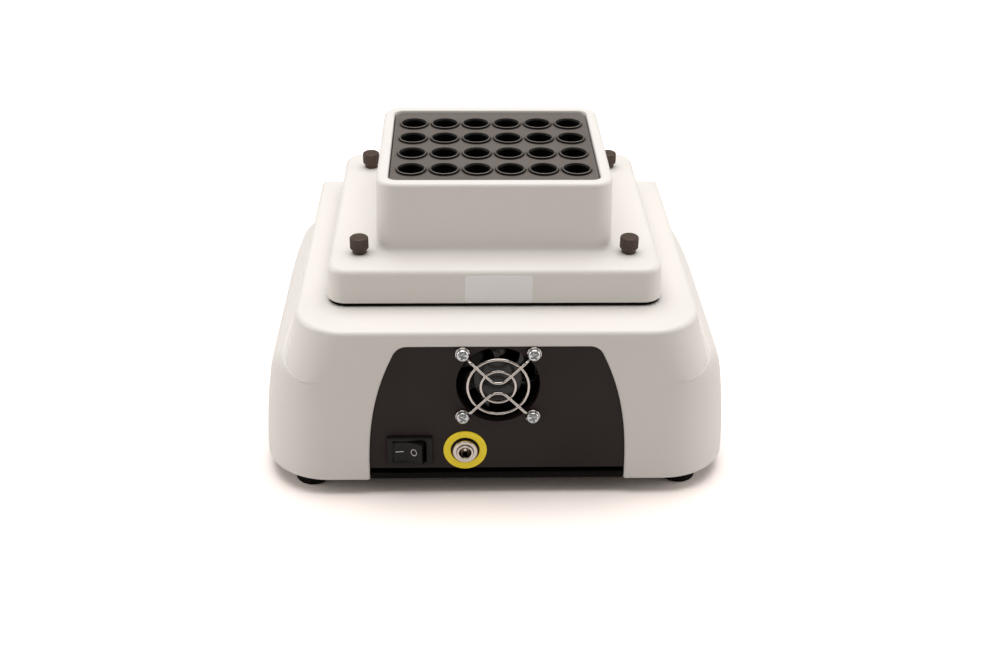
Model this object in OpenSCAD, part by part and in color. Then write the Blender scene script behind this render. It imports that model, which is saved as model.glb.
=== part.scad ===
// Orbital thermal mixer for 24 micro tubes: a moulded housing with a sloped
// control panel, an eccentric drive, four idler cranks and a heated block.
// Millimetres. Origin on the floor under the middle of the housing,
// +Z up, the control panel faces -Y and the fan panel faces +Y.

/* [Housing] */
// Width of the housing across its lower edge
body_w = 219.4; // [210:0.1:232]
// Depth of the housing across its lower edge
body_d = 235; // [229:0.5:250]
// Height of the housing from its lower edge to the flat top
body_h = 75.4; // [72:0.1:86]
// Width across the walls of the narrower upper part
crown_w = 183.4; // [180:0.1:190]
// Thickness of the moulded wall
wall = 2.6; // [2:0.1:3]
// Radius of the housing's corners at its lower edge
corner_r = 32; // [26:1:36]
// Radius of the rounded edge round the flat top
edge_r = 4; // [3:0.5:5]
// Lean of the rear face from vertical, in degrees
rear_draft = 3.4; // [1:0.1:5]
// Height of the side shoulders above the lower edge
shoulder_h = 61.2; // [56:0.2:64]
// Slope of the control panel from horizontal, in degrees
slope_angle = 40; // [38:0.5:43]
// Depth of the sloped front, measured along the floor
slope_run = 62.5; // [60:0.5:66]

/* [Rear opening] */
// Width of the rear opening at its foot
port_w = 118.6; // [112:0.2:124]
// Width of the rear opening at its top
port_top_w = 96; // [92:0.5:102]
// Height of the rear opening above the housing's lower edge
port_h = 69; // [66:0.2:70]
// Radius of the opening's upper corners
port_r = 7; // [4:0.5:9]
// Thickness of the rear panel's hidden flange
panel_t = 2; // [1.5:0.1:3]
// How far the rear panel's face lies inside the housing's face
reveal = 1; // [0.6:0.1:1.6]
// Height of the chassis lip in the rear opening
lip_h = 3.2; // [2.4:0.2:4]
// Slot between the chassis lip and the rear panel
lip_gap = 2.4; // [1.6:0.2:3]

/* [Feet] */
// Height of the rubber feet
foot_h = 8.8; // [6:0.2:12]
// Diameter of the rubber feet
foot_d = 17; // [14:0.5:20]
// Distance from the housing's side to a foot's centre
foot_inset_x = 22; // [20:0.5:28]
// Distance from the housing's rear or front to a foot's centre
foot_inset_y = 17; // [15:0.5:24]

/* [Tube block] */
// Number of wells from left to right
well_cols = 6; // [4:1:6]
// Number of wells from front to rear
well_rows = 4; // [3:1:4]
// Diameter of a well
well_d = 11.2; // [10.8:0.1:11.6]
// Depth of a well from its collar
well_depth = 36; // [30:1:38]
// Distance between wells in a row
col_pitch = 15.4; // [14.4:0.1:15.6]
// Distance between rows
row_pitch = 19.2; // [17:0.1:19.6]
// Height of the collar round each well
collar_h = 1; // [0.6:0.1:1.4]
// Wall of the collar round each well
collar_wall = 1; // [0.8:0.1:1.2]
// Width of the block
block_w = 96.2; // [95:0.2:98]
// Depth of the block
block_d = 86.6; // [85:0.2:89]

/* [Cover] */
// Width of the cover's flange
flange_w = 152.4; // [150:0.2:158]
// Depth of the cover's flange
flange_d = 138; // [134:0.2:144]
// Height of the cover's flange
flange_h = 16.2; // [14:0.2:20]
// Height of the riser above the flange
riser_h = 33.6; // [31:0.2:38]
// Wall of the riser at its rim
riser_wall = 4.2; // [3.4:0.1:5]
// Wall of the flange
cover_wall = 3; // [2:0.1:3.4]
// Gap between the block and the riser's rim
rim_gap = 0.6; // [0.4:0.1:1]
// How far the block's face lies below the riser's rim
block_sink = 1.8; // [1.4:0.1:2.6]
// Free gap between the housing and the moving cover
cover_gap = 3; // [2.4:0.1:4]

/* [Drive] */
// Distance of the mixing axis behind the middle of the housing
drive_y = 20; // [17:0.5:22]
// Radius of the mixing orbit
orbit_r = 1; // [0.5:0.1:1.5]
// Diameter of the drive shaft and its crank pin
shaft_d = 8; // [7:0.5:9]
// Diameter of the idlers' pins
idler_pin_d = 6; // [5:0.5:7]
// Distance between the left and right idlers
idler_span_x = 88; // [84:1:92]
// Distance between the front and rear idlers
idler_span_y = 52; // [48:1:56]
// Radial clearance of a running fit
run_gap = 0.05; // [0.03:0.01:0.08]
// Diameter of the motor's can
motor_d = 42; // [38:1:46]
// Length of the motor's can
motor_h = 26; // [22:1:30]
// Thickness of the motor plate
bed_t = 6; // [5:0.5:8]
// Distance from the housing's flat top down to the motor plate
bed_drop = 21; // [20:0.5:24]

/* [Platform] */
// Width of the platform
platform_w = 138; // [134:1:142]
// Depth of the platform
platform_d = 116; // [112:1:122]
// Thickness of the platform
platform_t = 3; // [2.5:0.1:3.5]
// Thickness of the heating mat
heater_t = 1.5; // [1:0.1:2]
// Distance between the left and right thumbscrews
thumb_span_x = 124.4; // [122:0.2:126]
// Distance between the front and rear thumbscrews
thumb_span_y = 100.4; // [98:0.2:104]
// Diameter of a thumbscrew's head
thumb_d = 8.6; // [7:0.1:10]
// Height of a thumbscrew's knurled head
thumb_h = 6.4; // [5:0.1:8]

/* [Fan] */
// Side of the square fan
fan_size = 40; // [38:0.5:42]
// Depth of the fan
fan_t = 10; // [8:0.5:12]
// Distance between the fan's screws
fan_pitch = 32; // [31:0.1:33]
// Distance of the fan's axis below the top of the rear opening
fan_h = 19.6; // [19:0.2:22]
// Diameter of the fan's opening in the panel
fan_open_d = 38; // [35:0.5:38.5]
// Number of fan blades
fan_blades = 7; // [5:1:9]
// Diameter of the guard's wire
wire_d = 1.35; // [1.2:0.05:1.8]
// Middle diameter of the guard's outer ring
ring_outer_d = 27.6; // [25:0.2:29]
// Middle diameter of the guard's inner ring
ring_inner_d = 15.7; // [13:0.2:18]

/* [Switch and inlet] */
// Width of the switch's bezel
switch_w = 21; // [19:0.2:23]
// Height of the switch's bezel
switch_h = 15; // [13:0.2:16]
// Distance of the switch from the middle
switch_x = 40.4; // [38:0.2:42]
// Distance of the power inlet from the middle
inlet_x = 14.9; // [13:0.1:17]
// Height of the switch and the inlet above the housing's lower edge
port_row_h = 15.3; // [14.8:0.1:17]
// Throw of the rocker between its two stops, in degrees
rocker_throw = 22; // [16:1:24]
// Bore of the power inlet
inlet_bore = 5.7; // [5.5:0.1:6]
// Diameter of the coloured ring round the inlet
inlet_ring_d = 20; // [18:0.5:20.5]

/* [Control panel] */
// Width of the control panel
keypad_w = 136; // [132:1:142]
// Height of the control panel along the slope
keypad_h = 52; // [50:0.5:53]
// Thickness of the control panel
keypad_t = 1.6; // [1.2:0.1:2]
// Diameter of a key
key_d = 9; // [8:0.5:10]
// Travel of a key
key_travel = 0.5; // [0.3:0.1:0.8]
// Width of the display window
window_w = 66; // [60:1:70]
// Height of the display window
window_h = 18; // [16:0.5:20]

/* [Hidden] */
$fn = 48;

seat = 0.02;        // gap where a ring is pressed into a seat or on a shaft
slip = 0.3;         // gap round a piece that slides or lifts out
lap = 0.5;          // overlap that lets one cut run past another

// Heights and faces that several pieces share
shell_z = foot_h;
top_z = shell_z + body_h;
rear_y = body_d / 2;
front_y = -body_d / 2;
break_y = front_y + slope_run;
slope = tan(slope_angle);
cover_z = top_z + cover_gap;
flange_z = cover_z + flange_h;
rim_z = flange_z + riser_h;
block_z = rim_z - block_sink;
platform_z = cover_z + 0.8;
deck_z = platform_z + platform_t;
mat_z = deck_z + heater_t;
bed_top = top_z - bed_drop;
bed_z = bed_top - bed_t;
chassis_t = 1.5;
floor_z = shell_z + chassis_t;

// ---- Lofted shells -------------------------------------------------------

// A closed skin through rings of equal count, each listed anticlockwise from above.
// With strips set, the top is closed by bands between mirrored points.
module loft(rings, strips = false) {
    n = len(rings[0]);
    last = len(rings) - 1;
    points = [for (ring = rings) each ring];
    sides = [for (k = [0:last - 1], i = [0:n - 1])
        let (a = k * n + i, b = k * n + (i + 1) % n)
        each [[a, b + n, b], [a, a + n, b + n]]];
    bottom = [[for (i = [0:n - 1]) i]];
    top = strips
        ? [for (i = [0:n / 2 - 2])
            let (a = last * n + i, b = last * n + n - 1 - i)
            each [[a, b, b - 1], [a, b - 1, a + 1]]]
        : [[for (i = [n - 1:-1:0]) last * n + i]];
    polyhedron(points = points, faces = concat(bottom, sides, top), convexity = 8);
}

// A rounded rectangle as a ring of points at one height
function round_ring(half_w, half_d, r, z, steps = 5) = [
    for (corner = [0:3], i = [0:steps])
        let (a = corner * 90 + i * 90 / steps,
             sx = corner == 0 || corner == 3 ? 1 : -1,
             sy = corner < 2 ? 1 : -1)
        [sx * (half_w - r) + r * cos(a), sy * (half_d - r) + r * sin(a), z]
];

// The same outline as an exact 2D shape
module round_rect(w, d, r) {
    square([w - 2 * r, d], center = true);
    square([w, d - 2 * r], center = true);
    for (x = [-1, 1], y = [-1, 1])
        translate([x * (w / 2 - r), y * (d / 2 - r)]) circle(r);
}

// ---- Shape of the housing -------------------------------------------------

crown_half = crown_w / 2;
groove_half = crown_half + 3.4;                 // half width at the foot of the crown
rear_end_h = shoulder_h - 11;                   // shoulder height where it meets the rear
sweep_y = rear_y - 42.5;                        // where the shoulder starts to sweep down
sweep_r = (pow(rear_y - 6 - sweep_y, 2) + 121) / 22;
front_lip_h = 20;                               // height of the front wall

// Height of the shoulder's crest at a distance y from the middle
function crest(y) =
    shell_z + (y > sweep_y
        ? max(rear_end_h, shoulder_h - sweep_r
            + sqrt(max(0, pow(sweep_r, 2) - pow(y - sweep_y, 2))))
        : max(front_lip_h, min(shoulder_h - 9 * pow(max(0, 10 - y) / 63, 2),
            shoulder_h - 9 - (break_y + 2 - y) * slope)));

// Height of the top: flat, then the slope of the control panel
function roof(y) = top_z - max(0, break_y - y) * slope;

function rear_at(z) = rear_y - (z - shell_z) * tan(rear_draft);

// How far the skirt has drawn in at a share u of the shoulder's height
skirt_inset = body_w / 2 - groove_half;
function inset(u) = skirt_inset * (0.52 * pow(u, 1.7) + 0.48 * pow(u, 11));

// Stations round one half, from rear to front, as [kind, value]:
// 0 angle in the rear corner, 1 position along the side, 2 angle in the front corner
side_last = break_y - 22;
STATIONS = concat(
    [for (i = [0:8]) [0, 90 - i * 90 / 8]],
    [for (y = [rear_y - 44, body_d * 0.21, body_d * 0.105, 0, body_d * -0.087, body_d * -0.166,
        break_y + 3, break_y, break_y - 3, break_y - 12, side_last]) [1, y]],
    [for (i = [0:6]) [2, -i * 15]]);

// A station's place on an outline [half width, rear, front, rear radius, front radius]
function spot(o, s) =
    s[0] == 0 ? [o[0] - o[3] + o[3] * cos(s[1]), o[1] - o[3] + o[3] * sin(s[1])] :
    s[0] == 1 ? [o[0], s[1]] :
    [o[0] - o[4] + o[4] * cos(s[1]), o[2] + o[4] + o[4] * sin(s[1])];

// Outline of the skirt at a share u of the shoulder's height, drawn in by t
function skirt_outline(u, t) = let (
        w = body_w / 2 - inset(u),
        r = corner_r - inset(u) * 0.47)
    [w - t, rear_at(shell_z + u * rear_end_h) - t, front_y + 0.25 * inset(u) + t, r - t, r - t];

// Outline of the crown at a height below its flat top, drawn in by t
function crown_outline(drop, t) = let (w = crown_half + drop * 0.05)
    [w - t, rear_at(top_z - drop) - t, front_y + 6.5 + t, corner_r - 8 - t, corner_r - 8 - t];

// A whole ring, mirrored from the right half
function ring_of(half) = let (m = len(half) - 1) concat(
    [for (i = [0:m]) [-half[i][0], half[i][1], half[i][2]]],
    [for (i = [m:-1:0]) half[i]]);

// Skirt ring: heights run from the lower edge to the crest
function skirt_ring(u, t) = ring_of([for (s = STATIONS)
    let (p = spot(skirt_outline(u, t), s))
    [p[0], p[1], shell_z + u * (crest(p[1]) - shell_z) - t * u]]);

// Foot of the crown, just above the crest
function groove_ring(t) = ring_of([for (s = STATIONS)
    let (p = spot([groove_half - 0.2 - t, rear_at(shell_z + rear_end_h + 1) - t, front_y + 4 + t,
        corner_r - 7.4 - t, corner_r - 7.4 - t], s))
    [p[0], p[1], crest(p[1]) + 1.2 - t]]);

// Crown ring, drawn in by t and lying a fixed distance below the roof
function crown_ring(drop, t) = ring_of([for (s = STATIONS)
    let (p = spot(crown_outline(drop, t), s)) [p[0], p[1], roof(p[1]) - drop]]);

module housing_skin() {
    loft(concat(
        [for (u = [0, 0.22, 0.45, 0.65, 0.8, 0.9, 0.96, 1]) skirt_ring(u, 0)],
        [groove_ring(0)],
        [for (a = [0, 30, 60, 90])
            crown_ring(edge_r * (1 - sin(a)), edge_r * (1 - cos(a)))]),
        strips = true);
}

module housing_hollow() {
    foot = skirt_ring(0, wall);
    loft(concat(
        // straight as far up as the chassis plate reaches
        [for (z = [shell_z - 1, floor_z + slip]) [for (p = foot) [p[0], p[1], z]]],
        [for (u = [0.5, 0.85]) skirt_ring(u, wall)],
        [groove_ring(wall), crown_ring(wall, wall)]),
        strips = true);
}

// Half width of the rear opening at a height above the lower edge
function port_half(h) = port_w / 2 - (port_w - port_top_w) / 2 * pow(h / (port_h - port_r + 1), 2.6);

// Outline of the rear opening, grown outwards by g
function port_side(g) = concat(
    [for (h = [0:7:port_h - port_r]) [port_half(h) + g, h]],
    [for (a = [15:25:90]) [port_half(port_h - port_r) - port_r + (port_r + g) * cos(a),
        port_h - port_r + (port_r + g) * sin(a)]]);

module port_shape(g, from) {
    side = port_side(g);
    flip = [for (i = [len(side) - 1:-1:0]) [-side[i][0], side[i][1]]];
    foot = [[-port_half(0) - g, from], [port_half(0) + g, from]];
    polygon(concat(foot, side, flip));
}

// Places children on the leaning rear panel: X across, Y outwards, Z up the panel
fan_axis = port_h - fan_h;              // height of the fan's axis above the lower edge
panel_y = rear_at(shell_z + fan_axis) - reveal;
panel_step = wall - reveal + 0.1;       // the part of the panel that fills the opening
panel_deep = panel_step + panel_t;
module at_panel(x = 0, h = fan_axis) {
    translate([0, panel_y, shell_z + fan_axis])
        rotate([rear_draft, 0, 0])
            translate([x, 0, h - fan_axis]) children();
}

// Places children on the slope: X across, Y up the slope, Z outwards
slope_mid = break_y - slope_run / 2 + 4;
module at_slope(x = 0, y = 0) {
    translate([0, slope_mid, roof(slope_mid)])
        rotate([slope_angle, 0, 0]) translate([x, y, 0]) children();
}

boss_x = crown_half - 22;
boss_rear = rear_y - 28;
boss_front = break_y + 9;
boss_d = 9;
screw_d = 4;
screw_grip = 10.5;      // length of a chassis screw above the chassis

module boss_spots() {
    for (x = [-1, 1], y = [boss_front, boss_rear]) translate([x * boss_x, y, 0]) children();
}

post_x = idler_span_x / 2 + 14;
idler_x = idler_span_x / 2;
idler_y = idler_span_y / 2;

module idler_spots() {
    for (x = [-1, 1], y = [-1, 1]) translate([x * idler_x, drive_y + y * idler_y, 0]) children();
}

hub_d = 24;
bush_d = 12;
bush_boss_d = 16;
passage = 6;            // how much wider a passage is than the boss above it
opening_w = 124;
opening_h = 42;

module housing() {
    color("ghostwhite") difference() {
        union() {
            difference() {
                housing_skin();
                housing_hollow();
            }
            boss_spots() translate([0, 0, floor_z])
                cylinder(d = boss_d, h = top_z - wall / 2 - floor_z);
        }
        boss_spots() translate([0, 0, floor_z - 1]) cylinder(d = screw_d, h = screw_grip + 3.5);
        // rear opening
        translate([0, rear_y + 5, shell_z]) rotate([90, 0, 0])
            linear_extrude(5 + wall + body_h * tan(rear_draft) + 4) port_shape(0, -5);
        // passages for the crank and the idlers
        translate([0, drive_y, top_z - wall - 3]) cylinder(d = hub_d + passage, h = wall + 6);
        idler_spots() translate([0, 0, top_z - wall - 3]) cylinder(d = bush_boss_d + passage, h = wall + 6);
        // opening under the control panel
        at_slope() cube([opening_w, opening_h, 4 * wall], center = true);
    }
}

// ---- Chassis and feet -------------------------------------------------------

module foot_spots() {
    for (x = [-1, 1], y = [-1, 1])
        translate([x * (body_w / 2 - foot_inset_x), y * (body_d / 2 - foot_inset_y), 0]) children();
}

module chassis() {
    w = body_w - 2 * wall - 0.8;
    d = body_d - 2 * wall - 0.8;
    lip_y = rear_y - 0.8;
    color("dimgray") difference() {
        union() {
            translate([0, 0, shell_z]) linear_extrude(chassis_t)
                round_rect(w, d, corner_r - wall - 0.4);
            translate([-port_w / 2 + 0.4, d / 2 - 10, shell_z])
                cube([port_w - 0.8, lip_y - d / 2 + 10, chassis_t]);
            translate([-port_w / 2 + 0.4, lip_y - chassis_t, shell_z])
                cube([port_w - 0.8, chassis_t, lip_h]);
        }
        boss_spots() translate([0, 0, shell_z - 1]) cylinder(d = screw_d + 0.4, h = chassis_t + 2);
        foot_spots() translate([0, 0, shell_z - 1]) cylinder(d = screw_d, h = chassis_t + 2);
        // ventilation slots under the motor
        for (i = [-4:4]) translate([i * 8, drive_y, shell_z - 1]) linear_extrude(chassis_t + 2) {
            square([3, 30], center = true);
            for (s = [-1, 1]) translate([0, s * 15]) circle(d = 3);
        }
    }
}

module chassis_screws() {
    color("silver") boss_spots() {
        translate([0, 0, shell_z - 2.4]) cylinder(d = 7.4, h = 2.4);
        translate([0, 0, shell_z - 0.1])
            cylinder(d = screw_d - 2 * run_gap, h = chassis_t + screw_grip);
    }
}

foot_seat_h = 3;

module feet() {
    color("black") foot_spots() difference() {
        rotate_extrude() polygon([[0, 0], [foot_d / 2 - 1.2, 0], [foot_d / 2 - 0.4, 0.8],
            [foot_d / 2, foot_h - 1], [foot_d / 2, foot_h], [0, foot_h]]);
        translate([0, 0, -1]) cylinder(d = 8.2, h = foot_h - foot_seat_h + 1);
        cylinder(d = screw_d + 0.2, h = foot_h + 1);
    }
}

module foot_screws() {
    color("silver") foot_spots() {
        translate([0, 0, foot_h - foot_seat_h - 2.4]) cylinder(d = 7.4, h = 2.4);
        translate([0, 0, foot_h - foot_seat_h - 0.1])
            cylinder(d = screw_d - 2 * run_gap, h = foot_seat_h + chassis_t + 2);
    }
}

// ---- Rear panel with fan, switch and inlet -----------------------------------

bezel_clear = 0.2;
jack_d = 7.6;
nut_r = jack_d / 2 + 1.7;

module fan_hole_spots() {
    for (x = [-1, 1], z = [-1, 1])
        translate([x * fan_pitch / 2, 0, z * fan_pitch / 2]) rotate([-90, 0, 0]) children();
}

fan_screw_d = 3;

module rear_panel() {
    panel_foot = lip_h + lip_gap;
    color([0.13, 0.11, 0.11]) difference() {
        union() {
            at_panel(0, 0) rotate([90, 0, 0]) linear_extrude(panel_deep) intersection() {
                port_shape(-0.3, panel_foot);
                translate([-port_w, panel_foot]) square([2 * port_w, port_h]);
            }
            at_panel(0, 0) translate([0, -panel_step, 0]) rotate([90, 0, 0])
                linear_extrude(panel_t) intersection() {
                    port_shape(5, panel_foot);
                    translate([-port_w, panel_foot]) square([2 * port_w, port_h + 3 - panel_foot]);
                }
            // ears that stand on the chassis, out of sight behind the housing
            for (s = [-1, 1]) at_panel(s * (port_w / 2 + 2.6), 0)
                translate([-1.8, -panel_deep, chassis_t + 0.25]) cube([3.6, panel_t, panel_foot + 2]);
        }
        at_panel() rotate([-90, 0, 0]) translate([0, 0, -panel_deep - 1])
            cylinder(d = fan_open_d, h = panel_deep + 2);
        at_panel() fan_hole_spots() translate([0, 0, -panel_deep - 1])
            cylinder(d = fan_screw_d + 0.4, h = panel_deep + 2);
        at_panel(switch_x, port_row_h)
            cube([switch_w - 2, 4 * panel_deep, switch_h - 2], center = true);
        at_panel(inlet_x, port_row_h) rotate([-90, 0, 0]) translate([0, 0, -panel_deep - 1])
            cylinder(d = jack_d + 0.2, h = panel_deep + 2);
    }
}

fan_back = panel_deep + fan_t;
hub_r = 11.5;
rotor_pin_d = 3;

module fan_frame() {
    web = 1.5;
    color([0.08, 0.08, 0.08]) at_panel() difference() {
        union() {
            difference() {
                translate([-fan_size / 2, -fan_back, -fan_size / 2]) cube([fan_size, fan_t, fan_size]);
                rotate([-90, 0, 0]) translate([0, 0, -fan_back - 1]) cylinder(d = fan_size - 2, h = fan_t + 2);
            }
            translate([0, -fan_back, 0]) rotate([-90, 0, 0]) cylinder(r = hub_r, h = web);
            for (a = [45:90:315]) rotate([0, a, 0])
                translate([hub_r - 1, -fan_back, -1.2]) cube([fan_size / 2 - hub_r + 1, web, 2.4]);
        }
        fan_hole_spots() translate([0, 0, -fan_back - 1]) cylinder(d = fan_screw_d + 0.4, h = fan_t + 2);
        rotate([-90, 0, 0]) translate([0, 0, -fan_back - 1])
            cylinder(d = rotor_pin_d + 2 * run_gap, h = web + 2);
    }
}

module fan_rotor() {
    deep = fan_t - 3;
    tip = fan_size / 2 - 1.6;
    color([0.1, 0.1, 0.1]) at_panel() {
        translate([0, -fan_back + 1.8, 0]) rotate([-90, 0, 0]) cylinder(r = hub_r, h = deep);
        translate([0, -fan_back - 0.2, 0]) rotate([-90, 0, 0]) cylinder(d = rotor_pin_d, h = deep);
        intersection() {
            translate([0, -fan_back + 1.8, 0]) rotate([-90, 0, 0]) cylinder(r = tip, h = deep);
            for (i = [0:fan_blades - 1]) rotate([0, i * 360 / fan_blades, 0])
                translate([hub_r - 1, -fan_back + 1.8 + deep / 2, 0]) rotate([38, 0, 0])
                    translate([0, -deep, -0.6]) cube([tip, 2 * deep, 1.2]);
        }
    }
}

// Wire along a list of points in the guard's plane, as a closed tube
function tube_ring(c, t, r, sides = 8) = [
    for (i = [0:sides - 1])
        let (a = i * 360 / sides)
        [c[0] - t[1] * r * sin(a), c[2] + r * cos(a), c[1] + t[0] * r * sin(a)]
];

// Height of the wire over the panel: it climbs from the eye, then runs level
wire_low = wire_d / 2 + 0.05;
wire_high = 2.35 + wire_d / 2;
ring_level = wire_high - wire_d + 0.12;
eye_r = 2.8;
function wire_rise(x) = wire_low
    + (wire_high - wire_low) * min(1, max(0, (fan_pitch / 2 - eye_r * 0.7 - abs(x)) / 2.2));
function wire_path(x) = sqrt(6.25 + pow(x * 0.988, 2));

module guard_wire(flip) {
    steps = 18;
    reach = fan_pitch / 2 - eye_r * 0.66;
    xs = [for (i = [0:steps]) -reach + 2 * reach * i / steps];
    rings = [for (x = xs)
        let (z = wire_path(x), g = x * 0.976 / z, n = sqrt(1 + g * g))
        tube_ring([x, flip * z, wire_rise(x)], [1 / n, flip * g / n], wire_d / 2)];
    loft(rings);
}

module fan_guard() {
    color("gainsboro") at_panel() {
        for (s = [-1, 1]) guard_wire(s);
        for (d = [ring_outer_d, ring_inner_d])
            translate([0, ring_level, 0]) rotate([-90, 0, 0])
                rotate_extrude() translate([d / 2, 0]) circle(d = wire_d);
        fan_hole_spots() translate([0, 0, wire_low])
            rotate_extrude() translate([eye_r, 0]) circle(d = wire_d);
    }
}

fan_head_d = 5.8;

module fan_screws() {
    under = wire_low + wire_d / 2 + 0.02;
    color("silver") at_panel() fan_hole_spots() {
        difference() {
            translate([0, 0, under]) rotate_extrude() intersection() {
                square([fan_head_d / 2, 2.6]);
                translate([0, -3.2]) circle(5.8);
            }
            for (a = [0, 90]) rotate([0, 0, a])
                translate([0, 0, under + 2.4]) cube([3.4, 0.9, 1.8], center = true);
        }
        translate([0, 0, -fan_back - 4]) cylinder(d = fan_screw_d, h = fan_back + 4 + under + 0.1);
    }
}

module fan_nuts() {
    color("silver") at_panel() fan_hole_spots() translate([0, 0, -fan_back - 3.02]) difference() {
        cylinder(d = 8, h = 3, $fn = 6);
        translate([0, 0, -1]) cylinder(d = fan_screw_d + 2 * seat, h = 5);
    }
}

bezel_t = 1.8;
well_half_w = switch_w / 2 - 2.9;
well_half_h = switch_h / 2 - 2;
pivot_depth = 1.5;
pivot_d = 2.4;

module switch_body() {
    color([0.09, 0.09, 0.09]) at_panel(switch_x, port_row_h) difference() {
        union() {
            rotate([90, 0, 0]) translate([0, 0, -bezel_t]) linear_extrude(bezel_t)
                round_rect(switch_w, switch_h, 1);
            translate([-switch_w / 2 + 1 + bezel_clear, -15, -switch_h / 2 + 1 + bezel_clear])
                cube([switch_w - 2 - 2 * bezel_clear, 15 + lap, switch_h - 2 - 2 * bezel_clear]);
            for (x = [-5.5, 0, 5.5]) translate([x - 0.4, -22, -2.4]) cube([0.8, 8, 4.8]);
        }
        translate([-well_half_w, -7, -well_half_h])
            cube([2 * well_half_w, 7 + bezel_t + 1, 2 * well_half_h]);
        translate([0, -pivot_depth, -well_half_h - 0.5])
            cylinder(d = pivot_d + 2 * run_gap, h = 2 * well_half_h + 1);
    }
}

// The rocker is drawn with its outer end proud, resting on the inner stop
module rocker() {
    tilt = rocker_throw / 2;
    reach = well_half_w - 0.9;
    color([0.07, 0.07, 0.07]) at_panel(switch_x, port_row_h)
        translate([0, -pivot_depth, 0]) rotate([0, 0, -tilt]) {
            translate([0, 0, -well_half_h + slip]) linear_extrude(2 * well_half_h - 2 * slip)
                polygon(concat(
                    [for (i = [-6:6]) [i * reach / 6, 3.2 + 1.6 * pow(i / 6, 2)]],
                    [[reach, 1.2], [2.4, -3.6], [-2.4, -3.6], [-reach, 1.2]]));
            translate([0, 0, -well_half_h - 0.4]) cylinder(d = pivot_d, h = 2 * well_half_h + 0.8);
        }
}

jack_proud = 3.2;
nut_t = 2.4;

module inlet_jack() {
    pin_d = 2;
    color("silver") at_panel(inlet_x, port_row_h) rotate([-90, 0, 0]) {
        difference() {
            union() {
                translate([0, 0, -panel_deep - 9]) cylinder(d = jack_d, h = panel_deep + 9 + jack_proud);
                translate([0, 0, -panel_deep - 12]) cylinder(r = nut_r, h = 12);
            }
            translate([0, 0, -panel_deep - 6]) cylinder(d = inlet_bore, h = panel_deep + 7 + jack_proud);
        }
        translate([0, 0, -panel_deep - 6.2]) cylinder(d = pin_d, h = panel_deep + 5.2 + jack_proud);
    }
}

module inlet_nut() {
    bore_r = jack_d / 2 + seat;
    color("silver") at_panel(inlet_x, port_row_h) rotate([-90, 0, 0]) rotate_extrude()
        polygon([[bore_r, 0], [nut_r, 0], [nut_r, nut_t - 0.7], [nut_r - 0.7, nut_t], [bore_r, nut_t]]);
}

module inlet_ring() {
    color("gold") at_panel(inlet_x, port_row_h) rotate([-90, 0, 0]) difference() {
        cylinder(d = inlet_ring_d, h = 0.5);
        translate([0, 0, -1]) cylinder(r = nut_r + 1.2, h = 3);
    }
}

// ---- Drive --------------------------------------------------------------------

bearing_d = 22;
crank_bearing_d = 16;
bearing_t = 5;                          // length of the platform's bearing and bushes
bearing_z = deck_z - 0.8 - bearing_t;   // clear above the housing's flat top
idler_bearing_d = 16;
idler_bearing_t = 5;
shaft_top = deck_z - 1;
hub_z = bed_top + 0.5;
web_t = 6;
idler_web_d = 13;
crank_z = hub_z + web_t;

module motor_plate() {
    color("lightgray") translate([0, drive_y, bed_z]) difference() {
        linear_extrude(bed_t) round_rect(idler_span_x + 40, idler_span_y + 36, 8);
        translate([0, 0, -1]) cylinder(d = bearing_d + 2 * seat, h = bed_t + 2);
        for (x = [-1, 1], y = [-1, 1]) translate([x * idler_x, y * idler_y, -1])
            cylinder(d = idler_bearing_d + 2 * seat, h = bed_t + 2);
    }
}

module plate_posts() {
    color("silver") for (x = [-1, 1], y = [-1, 1])
        translate([x * post_x, drive_y + y * (idler_y + 10), floor_z])
            cylinder(d = 8, h = bed_z - floor_z);
}

module motor() {
    color("dimgray") translate([0, drive_y, bed_z - motor_h]) difference() {
        union() {
            cylinder(d = motor_d, h = motor_h);
            translate([0, 0, -4]) cylinder(d = motor_d - 14, h = 4 + lap);
        }
        translate([0, 0, 4]) cylinder(d = shaft_d + 1, h = motor_h);
    }
}

// Ring bearing with its races and a shallow shield groove on both faces
module ring_bearing(outer, inner, t) {
    mid = (outer + inner) / 4;
    rotate_extrude() difference() {
        translate([inner / 2 + run_gap, 0]) square([outer / 2 - inner / 2 - run_gap, t]);
        for (z = [0, t]) translate([mid, z]) square([(outer - inner) / 5, 0.8], center = true);
    }
}

module main_bearing() {
    color("silver") translate([0, drive_y, bed_z]) ring_bearing(bearing_d, shaft_d, bed_t);
}

module idler_bearings() {
    color("silver") idler_spots() translate([0, 0, bed_top - idler_bearing_t])
        ring_bearing(idler_bearing_d, shaft_d, idler_bearing_t);
}

module drive_shaft() {
    color("silver") {
        translate([0, drive_y, bed_z - motor_h + 6]) cylinder(d = shaft_d, h = crank_z - bed_z + motor_h - 6);
        translate([orbit_r, drive_y, crank_z - 0.4]) cylinder(d = shaft_d, h = shaft_top - crank_z + 0.4);
    }
}

weight_r = 26;
weight_from = 4;        // distance of the weight's flat side from the shaft's axis

module counterweight() {
    color("goldenrod") translate([0, drive_y, hub_z]) difference() {
        union() {
            cylinder(d = shaft_d + 10, h = web_t - 0.5);
            intersection() {
                cylinder(r = weight_r, h = web_t - 0.5);
                translate([-weight_r - 1, -weight_r - 1, 0])
                    cube([weight_r + 1 - weight_from, 2 * weight_r + 2, web_t]);
            }
        }
        translate([0, 0, -1]) cylinder(d = shaft_d + 2 * seat, h = web_t + 2);
    }
}

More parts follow.
